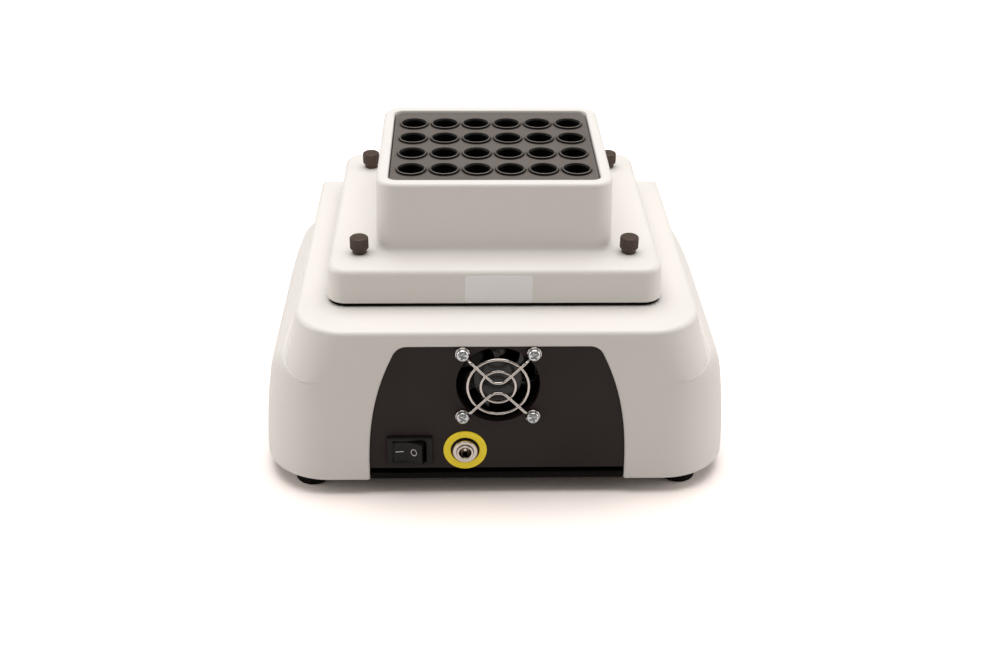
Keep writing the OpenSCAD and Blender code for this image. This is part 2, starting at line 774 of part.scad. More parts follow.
module idler_crank(x, y) {
    color("silver") translate([x * idler_x, drive_y + y * idler_y, 0]) {
        translate([0, 0, bed_top - idler_bearing_t]) cylinder(d = shaft_d, h = idler_bearing_t + 1);
        translate([0, 0, bed_top + 0.5]) cylinder(d = idler_web_d, h = web_t - 1.5);
        translate([orbit_r, 0, crank_z - 2]) cylinder(d = idler_pin_d, h = shaft_top - crank_z + 2);
    }
}

module idler_crank_1() { idler_crank(-1, -1); }
module idler_crank_2() { idler_crank(1, -1); }
module idler_crank_3() { idler_crank(-1, 1); }
module idler_crank_4() { idler_crank(1, 1); }

// ---- Platform, block and cover --------------------------------------------------

// The platform's middle lies one orbit radius to the right of the drive's axis
module on_platform() {
    translate([orbit_r, drive_y, 0]) children();
}

module thumb_spots() {
    for (x = [-1, 1], y = [-1, 1])
        translate([x * thumb_span_x / 2, y * thumb_span_y / 2, 0]) children();
}

thumb_screw_d = 4;
thumb_reach = 9;
post_top = flange_z - cover_wall;
block_screw_x = block_w / 2 - 5;
block_screw_y = block_d / 2 - 5;

module block_screw_spots() {
    for (x = [-1, 1], y = [-1, 1]) translate([x * block_screw_x, y * block_screw_y, 0]) children();
}

module platform() {
    color("lightgray") on_platform() difference() {
        union() {
            translate([0, 0, platform_z]) linear_extrude(platform_t)
                round_rect(platform_w, platform_d, 8);
            translate([0, 0, bearing_z]) cylinder(d = hub_d, h = bearing_t + lap);
            for (x = [-1, 1], y = [-1, 1]) translate([x * idler_x, y * idler_y, bearing_z])
                cylinder(d = bush_boss_d, h = bearing_t + lap);
            thumb_spots() translate([0, 0, deck_z - lap]) cylinder(d = 9, h = post_top - deck_z + lap);
        }
        translate([0, 0, bearing_z - 1]) cylinder(d = crank_bearing_d + 2 * seat, h = bearing_t + 1);
        for (x = [-1, 1], y = [-1, 1]) translate([x * idler_x, y * idler_y, bearing_z - 1])
            cylinder(d = bush_d + 2 * seat, h = bearing_t + 1);
        thumb_spots() translate([0, 0, post_top - thumb_reach]) cylinder(d = thumb_screw_d, h = 12);
        block_screw_spots() {
            translate([0, 0, platform_z - 1]) cylinder(d = 7.6, h = 2.8);
            translate([0, 0, platform_z]) cylinder(d = 4.4, h = platform_t + 1);
        }
    }
}

module crank_bearing() {
    color("silver") on_platform() translate([0, 0, bearing_z])
        ring_bearing(crank_bearing_d, shaft_d, bearing_t);
}

module platform_bushes() {
    color("goldenrod") on_platform()
        for (x = [-1, 1], y = [-1, 1]) translate([x * idler_x, y * idler_y, bearing_z])
            difference() {
                cylinder(d = bush_d, h = bearing_t);
                translate([0, 0, -1]) cylinder(d = idler_pin_d + 2 * run_gap, h = bearing_t + 2);
            }
}

module heating_mat() {
    color("orangered") on_platform() translate([0, 0, deck_z]) difference() {
        linear_extrude(heater_t) round_rect(block_w - 2, block_d - 2, 2);
        block_screw_spots() translate([0, 0, -1]) cylinder(d = 5, h = heater_t + 2);
    }
}

module tube_block() {
    depth = well_depth - collar_h;
    color([0.42, 0.42, 0.43]) on_platform() difference() {
        union() {
            translate([0, 0, mat_z]) linear_extrude(block_z - mat_z) round_rect(block_w, block_d, 4);
            wells() translate([0, 0, block_z - lap])
                cylinder(d = well_d + 2 * collar_wall, h = collar_h + lap);
        }
        wells() translate([0, 0, block_z - depth]) cylinder(d = well_d, h = well_depth + 1);
        block_screw_spots() translate([0, 0, mat_z - 1]) cylinder(d = 4, h = 9);
        translate([0, -block_d / 2 - 1, mat_z + 3.2]) rotate([-90, 0, 0]) cylinder(d = 4.2, h = 23);
    }
}

module wells() {
    for (c = [0:well_cols - 1], r = [0:well_rows - 1])
        translate([(c - (well_cols - 1) / 2) * col_pitch, (r - (well_rows - 1) / 2) * row_pitch, 0])
            children();
}

module block_screws() {
    color("silver") on_platform() block_screw_spots() {
        translate([0, 0, platform_z + 0.2]) cylinder(d = 7.2, h = 1.6);
        translate([0, 0, platform_z + 1.7]) cylinder(d = 4 - 2 * run_gap, h = mat_z + 7 - platform_z - 1.7);
    }
}

module sensor() {
    color("silver") on_platform() translate([0, -block_d / 2 + 0.2, mat_z + 3.2])
        rotate([-90, 0, 0]) cylinder(d = 4, h = 20);
}

rim_half_w = block_w / 2 + rim_gap;
rim_half_d = block_d / 2 + rim_gap;
riser_half_w = rim_half_w + riser_wall;
riser_half_d = rim_half_d + riser_wall;
riser_r = 8.5;
flange_r = 9;
flange_edge = 3;
riser_edge = 2.6;
riser_flare = 1.4;      // how much wider the riser is at its foot
flange_flare = 0.6;     // how much wider the flange is at its lower edge
foot_fillet = 3;

module cover_skin() {
    foot_w = riser_half_w + riser_flare;
    foot_d2 = riser_half_d + riser_flare;
    loft(concat(
        [round_ring(flange_w / 2 + flange_flare, flange_d / 2 + flange_flare, flange_r, cover_z)],
        [for (a = [0:30:90]) let (i = flange_edge * (1 - cos(a)))
            round_ring(flange_w / 2 - i, flange_d / 2 - i, flange_r - i,
                flange_z - flange_edge * (1 - sin(a)))],
        [for (a = [0:30:90]) let (o = foot_fillet * (1 - sin(a)))
            round_ring(foot_w + o, foot_d2 + o, riser_r + riser_flare + o,
                flange_z + 0.02 + foot_fillet * (1 - cos(a)))],
        [for (a = [0:30:90]) let (i = riser_edge * (1 - cos(a)))
            round_ring(riser_half_w - i, riser_half_d - i, riser_r - i,
                rim_z - riser_edge * (1 - sin(a)))]));
}

module block_cover() {
    lip = 3.4;
    color("ghostwhite") on_platform() difference() {
        cover_skin();
        translate([0, 0, cover_z - 1]) linear_extrude(rim_z - cover_z + 2)
            round_rect(2 * rim_half_w, 2 * rim_half_d, 4.4);
        translate([0, 0, cover_z - 1]) linear_extrude(rim_z - lip - cover_z + 1)
            round_rect(2 * rim_half_w + 1.6, 2 * rim_half_d + 1.6, 5.2);
        translate([0, 0, cover_z - 1]) linear_extrude(flange_h - cover_wall + 1)
            round_rect(flange_w - 2 * cover_wall, flange_d - 2 * cover_wall, flange_r - cover_wall);
        thumb_spots() translate([0, 0, flange_z - cover_wall - 1])
            cylinder(d = thumb_screw_d + 0.6, h = cover_wall + 2);
    }
}

label_w = 29;
label_h = 12.4;

module cover_label() {
    color("white") on_platform() translate([-1.6, flange_d / 2 + flange_flare, cover_z])
        rotate([atan(flange_flare / (flange_h - flange_edge)), 0, 0])
            translate([-label_w / 2, 0.01, 0.3]) cube([label_w, 0.2, label_h]);
}

knurls = 24;

module thumbscrew(x, y) {
    collar = 1.6;
    bevel = 0.7;
    r = thumb_d / 2;
    root = r - 0.35;
    color([0.16, 0.14, 0.14]) on_platform()
        translate([x * thumb_span_x / 2, y * thumb_span_y / 2, flange_z]) {
            translate([0, 0, 0.02]) cylinder(d = thumb_d - 2, h = collar);
            translate([0, 0, collar]) cylinder(r1 = root - bevel, r2 = root - 0.05, h = bevel);
            translate([0, 0, collar + bevel]) linear_extrude(thumb_h - 2 * bevel)
                polygon([for (i = [0:2 * knurls - 1])
                    let (k = i % 2 == 0 ? r : root)
                    [k * cos(i * 180 / knurls), k * sin(i * 180 / knurls)]]);
            translate([0, 0, collar + thumb_h - bevel])
                cylinder(r1 = root - 0.05, r2 = root - bevel, h = bevel);
            translate([0, 0, -cover_wall - thumb_reach + 1])
                cylinder(d = thumb_screw_d - 2 * run_gap, h = cover_wall + thumb_reach - 0.8);
        }
}

module thumbscrew_1() { thumbscrew(-1, -1); }
module thumbscrew_2() { thumbscrew(1, -1); }
module thumbscrew_3() { thumbscrew(-1, 1); }
module thumbscrew_4() { thumbscrew(1, 1); }

// ---- Control panel -----------------------------------------------------------------

key_pitch = 13;
group_pitch = 34;
key_row = -keypad_h / 2 + 12;
// three pairs of keys and one single key, from left to right
KEY_X = concat([for (g = [0:2], s = [-0.5, 0.5]) (g - 1.27) * group_pitch + s * key_pitch],
    [keypad_w / 2 - 14]);
window_y = keypad_h / 2 - 8 - window_h / 2;
board_z = -9.5;
board_t = 1.6;
key_collar = 1.2;

module key_spots() {
    for (x = KEY_X) at_slope(x, key_row) children();
}

module keypad() {
    color([0.2, 0.26, 0.34]) difference() {
        at_slope() linear_extrude(keypad_t) round_rect(keypad_w, keypad_h, 4);
        at_slope(0, window_y) translate([0, 0, keypad_t / 2])
            cube([window_w, window_h, keypad_t + 2], center = true);
        key_spots() translate([0, 0, -1]) cylinder(d = key_d + 2 * slip, h = keypad_t + 2);
    }
}

module display_window() {
    color("lightblue") at_slope(0, window_y) translate([0, 0, keypad_t / 2 - 0.1])
        cube([window_w - 0.2, window_h - 0.2, keypad_t - 0.2], center = true);
}

module display_module() {
    color([0.1, 0.12, 0.1]) at_slope(0, window_y) translate([0, 0, board_z / 2])
        cube([window_w + 4, window_h + 4, -board_z], center = true);
}

module control_board() {
    color("darkgreen") at_slope() translate([0, 0, board_z - board_t / 2])
        cube([opening_w + 14, opening_h + 2, board_t], center = true);
}

module board_posts() {
    color("silver") for (x = [-1, 1], y = [-1, 1]) at_slope(x * (opening_w / 2 + 3.5), y * (opening_h / 2 - 4))
        translate([0, 0, board_z]) cylinder(d = 5, h = -board_z - wall * cos(slope_angle) - 0.02);
}

module key_switches() {
    color("black") key_spots() translate([0, 0, board_z]) {
        translate([-3, -3, 0]) cube([6, 6, 3.5]);
        cylinder(d = 3.2, h = 4.2);
    }
}

// A key's cap stands a little proud and its collar lies behind the panel
module key(i) {
    foot = board_z + 4.25 + key_travel;
    color("gainsboro") at_slope(KEY_X[i], key_row) {
        translate([0, 0, -key_collar - 0.1]) cylinder(d = key_d + 2, h = key_collar);
        translate([0, 0, -0.5]) cylinder(d = key_d, h = keypad_t + 1.2);
        translate([0, 0, foot]) cylinder(d = 3, h = -key_collar - foot);
    }
}

module key_1() { key(0); }
module key_2() { key(1); }
module key_3() { key(2); }
module key_4() { key(3); }
module key_5() { key(4); }
module key_6() { key(5); }
module key_7() { key(6); }

housing();
chassis();
chassis_screws();
feet();
foot_screws();
rear_panel();
fan_frame();
fan_rotor();
fan_guard();
fan_screws();
fan_nuts();
switch_body();
rocker();
inlet_jack();
inlet_nut();
inlet_ring();
motor_plate();
plate_posts();
motor();
main_bearing();
idler_bearings();
drive_shaft();
counterweight();
idler_crank_1();
idler_crank_2();
idler_crank_3();
idler_crank_4();
platform();
crank_bearing();
platform_bushes();
heating_mat();
tube_block();
block_screws();
sensor();
block_cover();
cover_label();
thumbscrew_1();
thumbscrew_2();
thumbscrew_3();
thumbscrew_4();
keypad();
display_window();
display_module();
control_board();
board_posts();
key_switches();
key_1();
key_2();
key_3();
key_4();
key_5();
key_6();
key_7();
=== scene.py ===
import math

import bmesh
import bpy
import numpy as np
from mathutils import Matrix, Vector


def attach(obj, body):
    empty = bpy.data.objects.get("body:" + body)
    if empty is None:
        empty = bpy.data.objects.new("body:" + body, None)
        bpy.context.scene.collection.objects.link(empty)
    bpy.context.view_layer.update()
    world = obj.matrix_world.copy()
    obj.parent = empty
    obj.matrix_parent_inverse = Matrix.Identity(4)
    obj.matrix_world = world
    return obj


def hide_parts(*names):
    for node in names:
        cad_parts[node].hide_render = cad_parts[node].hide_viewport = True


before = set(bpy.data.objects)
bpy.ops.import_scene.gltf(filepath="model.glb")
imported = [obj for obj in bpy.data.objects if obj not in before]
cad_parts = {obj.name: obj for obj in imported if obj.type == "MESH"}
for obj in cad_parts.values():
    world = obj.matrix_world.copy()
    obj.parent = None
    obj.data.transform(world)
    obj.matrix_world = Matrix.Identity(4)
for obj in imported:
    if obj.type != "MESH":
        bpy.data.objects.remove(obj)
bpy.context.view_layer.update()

print("frame loaded:", len(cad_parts), "nodes")

mm = 0.001  # everything below is worked out in millimetres and turned to metres at the end


# meshes from arrays

# quads between neighbouring rows and columns of a grid of points, joined round where asked
def gridPatch(points, closeAcross=False, closeAlong=False):
    rows, cols = points.shape[:2]
    index = np.arange(rows * cols).reshape(rows, cols)
    if closeAcross:
        index = np.hstack([index, index[:, :1]])
    if closeAlong:
        index = np.vstack([index, index[:1]])
    quads = np.stack([index[:-1, :-1], index[1:, :-1], index[1:, 1:], index[:-1, 1:]], -1)
    return points.reshape(-1, 3), [quads.reshape(-1, 4)]


# one flat face over a ring of points
def lidPatch(ring):
    return ring, [np.arange(len(ring))[None, :]]


# a grid with a lid on its first and last rows
def closedTube(points):
    return [gridPatch(points, closeAcross=True), lidPatch(points[0]), lidPatch(points[-1])]


# points on a circle's arc: centre plus radius times (cosine, sine) of evenly spaced angles in degrees
def arc(centre, radius, start, end, count):
    a = np.radians(np.linspace(start, end, count))
    return np.stack([centre[0] + radius * np.cos(a), centre[1] + radius * np.sin(a)], -1)


# a quarter of a circle as (drawn in, dropped) pairs: radius times (1 - cosine, 1 - sine)
def quarter(radius, count, start=0, end=90):
    a = np.radians(np.linspace(start, end, count))
    return list(zip(radius * (1 - np.cos(a)), radius * (1 - np.sin(a))))


# full turn in equal steps, without the end that would repeat the start
def fullTurn(count):
    return np.arange(count) * 2 * np.pi / count


# flat points given one height
def atHeight(flat, z):
    return np.column_stack([flat, np.full(len(flat), z)])


# a profile of (radius, height) turned once round the Z axis
def lathe(profile, around=64):
    profile = np.asarray(profile, float)
    a, r = fullTurn(around), profile[:, :1]
    return np.stack([r * np.cos(a), r * np.sin(a), np.repeat(profile[:, 1:], around, 1)], -1)


# the turned profile's skin
def turned(profile, around=64):
    return gridPatch(lathe(profile, around), closeAcross=True)


# a profile's sharp corners become arcs: each corner is cut back by its radius on both
# sides and joined by the quadratic curve through the corner
def softened(profile, radius, steps=4):
    profile = np.asarray(profile, float)
    out = [profile[:1]]
    t = np.linspace(0, 1, steps + 1)[:, None]
    for before, corner, after in zip(profile[:-2], profile[1:-1], profile[2:]):
        lengthA, lengthB = np.linalg.norm(before - corner), np.linalg.norm(after - corner)
        cut = min(radius, 0.49 * lengthA, 0.49 * lengthB)
        a = corner + (before - corner) * cut / lengthA
        b = corner + (after - corner) * cut / lengthB
        out.append((1 - t) ** 2 * a + 2 * t * (1 - t) * corner + t ** 2 * b)
    return np.vstack(out + [profile[-1:]])


# a rounded rectangle: four quarter circles whose centres lie one radius in from the corners
def roundRect(halfWidth, halfDepth, radius, steps=10):
    corners = []
    for k, (sx, sy) in enumerate(((1, 1), (-1, 1), (-1, -1), (1, -1))):
        centre = (sx * (halfWidth - radius), sy * (halfDepth - radius))
        corners.append(arc(centre, radius, 90 * k, 90 * k + 90, steps))
    return np.vstack(corners)


# an anticlockwise outline moved inwards by the same distance everywhere, along the
# bisector of its two neighbouring edges
def inset(outline, distance):
    ahead = np.roll(outline, -1, 0) - outline
    behind = outline - np.roll(outline, 1, 0)
    ahead /= np.linalg.norm(ahead, axis=1)[:, None] + 1e-12
    behind /= np.linalg.norm(behind, axis=1)[:, None] + 1e-12
    inwardA = np.stack([-ahead[:, 1], ahead[:, 0]], -1)
    inwardB = np.stack([-behind[:, 1], behind[:, 0]], -1)
    bisector = inwardA + inwardB
    scale = np.clip((bisector * inwardA).sum(1), 0.3, None)
    return outline + bisector * (distance / scale)[:, None]


# a plate with rounded edges: the outline at rising heights, drawn in along a quarter circle at both faces
def plate(outline, low, high, topEdge, lowEdge=0.0, steps=4):
    rows = [(drawn, low + up) for up, drawn in quarter(lowEdge, steps + 1)] if lowEdge > 0 else [(0.0, low)]
    rows += [(drawn, high - down) for drawn, down in quarter(topEdge, steps + 1)]
    return closedTube(np.stack([atHeight(inset(outline, drawn), z) for drawn, z in rows]))


# a round wire along a path: a circle in the plane across the path, one axis of which is kept near "up"
def wire(path, radius, up, closed=False, around=14):
    path = np.asarray(path, float)
    along = np.roll(path, -1, 0) - np.roll(path, 1, 0) if closed else np.gradient(path, axis=0)
    along /= np.linalg.norm(along, axis=1)[:, None]
    side = np.cross(along, up)
    side /= np.linalg.norm(side, axis=1)[:, None]
    over = np.cross(side, along)
    a = fullTurn(around)[None, :, None]
    points = path[:, None] + radius * (np.cos(a) * side[:, None] + np.sin(a) * over[:, None])
    if closed:
        return [gridPatch(points, closeAcross=True, closeAlong=True)]
    return closedTube(points)


# the same patches with every point changed by one rule
def moved(patches, change):
    return [(change(points), faces) for points, faces in patches]


# all patches in one mesh, doubles merged and faces turned outwards
def meshObject(name, patches):
    offset, points, loops, sizes = 0, [], [], []
    for patchPoints, faceSets in patches:
        points.append(patchPoints)
        for faces in faceSets:
            loops.append((faces + offset).ravel())
            sizes.append(np.full(len(faces), faces.shape[1]))
        offset += len(patchPoints)
    points, loops, sizes = np.concatenate(points) * mm, np.concatenate(loops), np.concatenate(sizes)
    mesh = bpy.data.meshes.new(name)
    mesh.vertices.add(len(points))
    mesh.vertices.foreach_set("co", points.ravel())
    mesh.loops.add(len(loops))
    mesh.loops.foreach_set("vertex_index", loops.astype(np.int32))
    mesh.polygons.add(len(sizes))
    mesh.polygons.foreach_set("loop_start", np.concatenate([[0], np.cumsum(sizes)[:-1]]).astype(np.int32))
    mesh.update(calc_edges=True)
    shell = bmesh.new()
    shell.from_mesh(mesh)
    bmesh.ops.remove_doubles(shell, verts=shell.verts, dist=2e-6)
    bmesh.ops.recalc_face_normals(shell, faces=shell.faces)
    shell.to_mesh(mesh)
    shell.free()
    thing = bpy.data.objects.new(name, mesh)
    bpy.context.scene.collection.objects.link(thing)
    return thing


# the cutter's volume is taken out of the piece for good
def cutAway(piece, cutter):
    modifier = piece.modifiers.new("cut", "BOOLEAN")
    modifier.operation = "DIFFERENCE"
    modifier.solver = "EXACT"
    modifier.object = cutter
    bpy.context.view_layer.update()
    done = bpy.data.meshes.new_from_object(piece.evaluated_get(bpy.context.evaluated_depsgraph_get()))
    piece.modifiers.clear()
    piece.data = done
    bpy.data.objects.remove(cutter)
    return piece


# shading, finish, the body it rides on and the nodes it stands for
def settle(piece, material, body, replaced=(), sharp=38):
    piece.data.materials.clear()
    piece.data.materials.append(material)
    piece.data.shade_smooth()
    piece.data.set_sharp_from_angle(angle=math.radians(sharp))
    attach(piece, body)
    if replaced:
        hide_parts(*replaced)
    return piece


# materials

# sRGB hex to linear: the standard curve, part by part
def hexColour(code):
    parts = [int(code[k:k + 2], 16) / 255 for k in (0, 2, 4)]
    return [p / 12.92 if p <= 0.04045 else ((p + 0.055) / 1.055) ** 2.4 for p in parts] + [1.0]


# adds one node, with its settings, and its inputs as values or as links from other nodes
def addNode(tree, kind, inputs=None, **settings):
    node = tree.nodes.new(kind)
    for key, value in settings.items():
        setattr(node, key, value)
    for key, value in (inputs or {}).items():
        if isinstance(value, bpy.types.NodeSocket):
            tree.links.new(value, node.inputs[key])
        else:
            node.inputs[key].default_value = value
    return node


# a finish from what its dictionary says: two close colours in broad patches, a grain of a
# real size that raises the surface, and a roughness that wanders a little
def makeFinish(name, look):
    material = bpy.data.materials.new(name)
    material.use_nodes = True
    tree = material.node_tree
    tree.nodes.clear()
    place = addNode(tree, "ShaderNodeTexCoord").outputs["Object"]
    broad = addNode(tree, "ShaderNodeTexNoise", {
        "Vector": place, "Scale": 1000 / look["patchMm"], "Detail": 3.0, "Roughness": 0.55})
    colour = addNode(tree, "ShaderNodeMix", {
        0: broad.outputs[0], 6: hexColour(look["colour"]), 7: hexColour(look["colourB"])},
        data_type="RGBA").outputs[2]
    stretch = look.get("stretch", (1, 1, 1))
    grainPlace = addNode(tree, "ShaderNodeMapping", {"Vector": place, "Scale": stretch}).outputs[0]
    grain = addNode(tree, "ShaderNodeTexNoise", {
        "Vector": grainPlace, "Scale": 1000 / look["grainMm"], "Detail": 2.0, "Roughness": 0.6})
    fleck = look.get("fleck")
    if fleck:
        edge = addNode(tree, "ShaderNodeMapRange", {
            0: grain.outputs[0], 1: 0.45, 2: 0.75, 3: 0.0, 4: fleck[1]})
        colour = addNode(tree, "ShaderNodeMix", {
            0: edge.outputs[0], 6: colour, 7: hexColour(fleck[0])}, data_type="RGBA").outputs[2]
    # painted shade: where the mesh's "deep" attribute is 1, the colour turns to the dark shade colour
    if "deepColour" in look:
        sunk = addNode(tree, "ShaderNodeAttribute", attribute_name="deep").outputs["Fac"]
        colour = addNode(tree, "ShaderNodeMix", {
            0: sunk, 6: colour, 7: hexColour(look["deepColour"])}, data_type="RGBA").outputs[2]
    rough = addNode(tree, "ShaderNodeMapRange", {
        0: broad.outputs[0], 1: 0.3, 2: 0.7, 3: look["rough"][0], 4: look["rough"][1]}).outputs[0]
    bump = addNode(tree, "ShaderNodeBump", {
        "Height": grain.outputs[0], "Strength": look["bump"], "Distance": look["depthMm"] * mm})
    shader = addNode(tree, "ShaderNodeBsdfPrincipled", {
        "Base Color": colour, "Roughness": rough, "Normal": bump.outputs[0],
        "Metallic": look.get("metal", 0.0)})
    for socket, key in (("IOR", "ior"), ("Specular IOR Level", "specular"), ("Transmission Weight", "clear")):
        if key in look:
            shader.inputs[socket].default_value = look[key]
    # painted light: the finish glows with its own colour, though it is no lamp
    if "glow" in look:
        shader.inputs["Emission Color"].default_value = hexColour(look["colour"])
        shader.inputs["Emission Strength"].default_value = look["glow"]
    addNode(tree, "ShaderNodeOutputMaterial", {"Surface": shader.outputs[0]})
    return material


# two colours of the broad patches and their size, the grain's size and depth in mm and its
# strength, the range of roughness, then what only some finishes have
def finish(colour, colourB, patchMm, grainMm, depthMm, bump, rough, **more):
    return dict(colour=colour, colourB=colourB, patchMm=patchMm, grainMm=grainMm, depthMm=depthMm,
                bump=bump, rough=rough, **more)


finishes = {
    # ABS, injection moulded in a spark-eroded tool: a fine matt grain, warm off-white
    "absMouldedWhite": finish("ECE9E4", "E9E5DF", 70, 0.9, 0.02, 0.25, (0.42, 0.52), ior=1.5),
    # sheet ABS behind the fan: black-brown, leather-like grain
    "absPanelBlack": finish("251916", "211512", 40, 0.7, 0.03, 0.3, (0.5, 0.62), ior=1.5, specular=0.35),
    # glass-filled nylon of the switch and the fan: black, smoother, a soft shine
    "nylonMouldedBlack": finish("130F0E", "0F0B0B", 15, 0.35, 0.012, 0.3, (0.34, 0.46), ior=1.53,
                                specular=0.26),
    # fan blades in PBT, polished tool: black with clear highlights
    "pbtPolishedBlack": finish("0E0B0A", "0A0807", 12, 1.5, 0.01, 0.2, (0.18, 0.26), ior=1.55),
    # aluminium block, blasted with fine bead and hard anodised dark grey; painted shade darkens its wells and its
    # collars' sides
    "aluminiumHardAnodised": finish("77706A", "706963", 25, 0.35, 0.02, 0.35, (0.42, 0.55), metal=0.5,
                                    fleck=("968F88", 0.5), deepColour="060504"),
    # aluminium plate, face milled and clear anodised: fine marks along the cut
    "aluminiumMilled": finish("B9B7B4", "ABA9A6", 30, 0.8, 0.01, 0.3, (0.32, 0.45), metal=1.0,
                              stretch=(0.08, 1, 1)),
    # mild steel, bright zinc plated
    "steelZincPlated": finish("B4B6B8", "A4A39C", 9, 0.6, 0.01, 0.3, (0.26, 0.4), metal=1.0),
    # mild steel, powder coated black: slight orange peel
    "steelPowderBlack": finish("0C0907", "0A0806", 30, 0.8, 0.03, 0.35, (0.62, 0.74), ior=1.5, specular=0.12),
    # bearing steel, ground and oiled
    "steelGround": finish("9C9A98", "8C8A88", 8, 0.4, 0.006, 0.3, (0.2, 0.3), metal=1.0, stretch=(1, 1, 0.1)),
    # steel wire, bright chrome over nickel
    "steelWireChrome": finish("DAD4CE", "CFC8C1", 6, 1.2, 0.006, 0.2, (0.12, 0.22), metal=1.0),
    # pan-head screws, bright zinc with a slight blue cast
    "screwZincBlue": finish("E6EAEB", "D6DADB", 3, 0.5, 0.008, 0.25, (0.18, 0.3), metal=1.0),
    # brass, turned and nickel plated: fine rings left by the tool
    "brassNickelPlated": finish("E6DED4", "D6CDC2", 4, 0.3, 0.006, 0.3, (0.14, 0.24), metal=1.0),
    # brass, turned, bare
    "brassTurned": finish("C9A65C", "B8934A", 8, 0.4, 0.008, 0.3, (0.25, 0.38), metal=1.0,
                          stretch=(1, 1, 0.1)),
    # phosphor bronze bushes, sintered: dull and porous
    "bronzeSintered": finish("9A7448", "86623B", 5, 0.4, 0.03, 0.5, (0.42, 0.6), metal=1.0),
    # die-cut vinyl ring, satin yellow, made a little brighter by painted glow
    "vinylYellow": finish("FFE628", "FBDE24", 8, 0.5, 0.008, 0.2, (0.38, 0.48), ior=1.5, glow=0.1),
    # natural rubber, moulded, matt black with a light bloom
    "rubberMoulded": finish("0B0908", "110E0D", 6, 0.5, 0.03, 0.4, (0.68, 0.85), ior=1.52, specular=0.15),
    # dead black with a coarse grain like open pores: the strip of painted shade under the cover's flange
    "shadeStripBlack": finish("0B0908", "100D0C", 4, 0.6, 0.08, 0.5, (0.85, 0.95), ior=1.45, specular=0.1),
    # steel thumbscrews, black oxide: brown-black with lighter flecks of wear
    "steelBlackOxide": finish("40332B", "4C3D34", 3, 0.4, 0.02, 0.35, (0.42, 0.58), metal=0.3,
                              fleck=("786658", 0.45)),
    # motor can, electro-coated black
    "steelECoat": finish("242424", "1D1D1D", 20, 0.7, 0.015, 0.25, (0.34, 0.46), ior=1.5),
    # silicone heating mat, calendered, red-brown with a cloth pattern pressed in
    "siliconeSheet": finish("9A3A22", "8B311C", 15, 0.8, 0.03, 0.4, (0.6, 0.72), ior=1.42),
    # polyester label film, matt laminate
    "filmLabel": finish("F8F8F8", "F5F4F3", 12, 0.4, 0.004, 0.15, (0.3, 0.4), ior=1.5),
    # keypad overlay, textured polyester, printed grey-blue from behind
    "filmKeypad": finish("46525F", "404B58", 30, 0.35, 0.01, 0.3, (0.42, 0.52), ior=1.57),
    # silicone keys, matt light grey
    "siliconeKey": finish("C9CBCC", "C0C2C4", 6, 0.4, 0.012, 0.25, (0.55, 0.66), ior=1.42),
    # printed marks on keys and switch: white pad-printing ink
    "inkWhite": finish("EDEBE8", "E0DDD9", 1.5, 0.25, 0.004, 0.2, (0.5, 0.6), ior=1.5),
    # display window, polycarbonate, hard coated
    "polycarbonateClear": finish("8FA39A", "889C93", 20, 2.0, 0.002, 0.1, (0.05, 0.09), ior=1.58, clear=0.7),
    # liquid-crystal module: green-grey polariser
    "lcdPolariser": finish("66735C", "5F6B56", 25, 0.5, 0.002, 0.1, (0.2, 0.28), ior=1.5),
    # glass-fibre board under green solder mask
    "boardSolderMask": finish("1C5A34", "174E2C", 12, 0.6, 0.01, 0.3, (0.3, 0.42), ior=1.55),
}
materials = {name: makeFinish(name, look) for name, look in finishes.items()}
print("materials made:", len(materials))


# housing

# sizes of the moulded shell; its curves below take everything from here
housing = dict(width=219.4, depth=235.0, low=8.8, top=85.2, slopeTop=84.2, crownWidth=183.4, crestOut=4.6,
               corner=32.0, cornerTaper=0.47, edge=2.3, wall=2.6, lean=3.4, shoulder=61.2,
               shoulderDrop=11.0, sweepFrom=42.5, sweepEnd=6.0, slope=40.0, slopeRun=62.5,
               frontLip=20.0, frontFall=9.0, fallFrom=10.0, fallOver=63.0, bend=3.0, grooveOut=2.7,
               grooveDeep=0.6, grooveCorner=16.3, crestCorner=6.5, swell=0.6, swellOver=3.2,
               crestSetBack=0.25, footSetBack=4.2, crownSetBack=6.5, footRise=1.2,
               skirtPowers=((0.52, 1.7), (0.48, 11)), grooveEnds=((2, 9), (8, 12)))
rearY, frontY = housing["depth"] / 2, -housing["depth"] / 2
breakY = frontY + housing["slopeRun"]
slopeTan = math.tan(math.radians(housing["slope"]))
leanTan = math.tan(math.radians(housing["lean"]))
crownHalf = housing["crownWidth"] / 2
crestHalf = crownHalf + housing["crestOut"]
rearEnd = housing["shoulder"] - housing["shoulderDrop"]
sweepY = rearY - housing["sweepFrom"]
sweepRun = rearY - housing["sweepEnd"] - sweepY
sweepR = (sweepRun ** 2 + housing["shoulderDrop"] ** 2) / (2 * housing["shoulderDrop"])


# crest of the side shoulder: an arc of a circle down to the rear, a parabola and then a
# straight line down to the front
def crest(y):
    sweep = housing["shoulder"] - sweepR + np.sqrt(np.clip(sweepR ** 2 - (y - sweepY) ** 2, 0, None))
    rear = np.maximum(rearEnd, sweep)
    fall = housing["frontFall"]
    curve = housing["shoulder"] - fall * (np.clip(housing["fallFrom"] - y, 0, None) / housing["fallOver"]) ** 2
    line = housing["shoulder"] - fall - (breakY + 2 - y) * slopeTan
    front = np.maximum(housing["frontLip"], np.minimum(curve, line))
    return housing["low"] + np.where(y > sweepY, rear, front)


crease = breakY + (housing["top"] - housing["slopeTop"]) / slopeTan


# the top: flat, then a straight slope, with a parabola of half length "bend" between them
def roof(y):
    d, b = crease - y, housing["bend"]
    drop = np.where(d > b, d, np.where(d < -b, 0, (d + b) ** 2 / (4 * b)))
    return housing["top"] - drop * slopeTan


# the rear wall leans forward: its place falls by height times the lean's tangent
def rearAt(z):
    return rearY - (z - housing["low"]) * leanTan


# how far the skirt has drawn in at a share u of the shoulder's height: two powers of u
def skirtInset(u):
    return (housing["width"] / 2 - crestHalf) * sum(share * u ** power for share, power in housing["skirtPowers"])


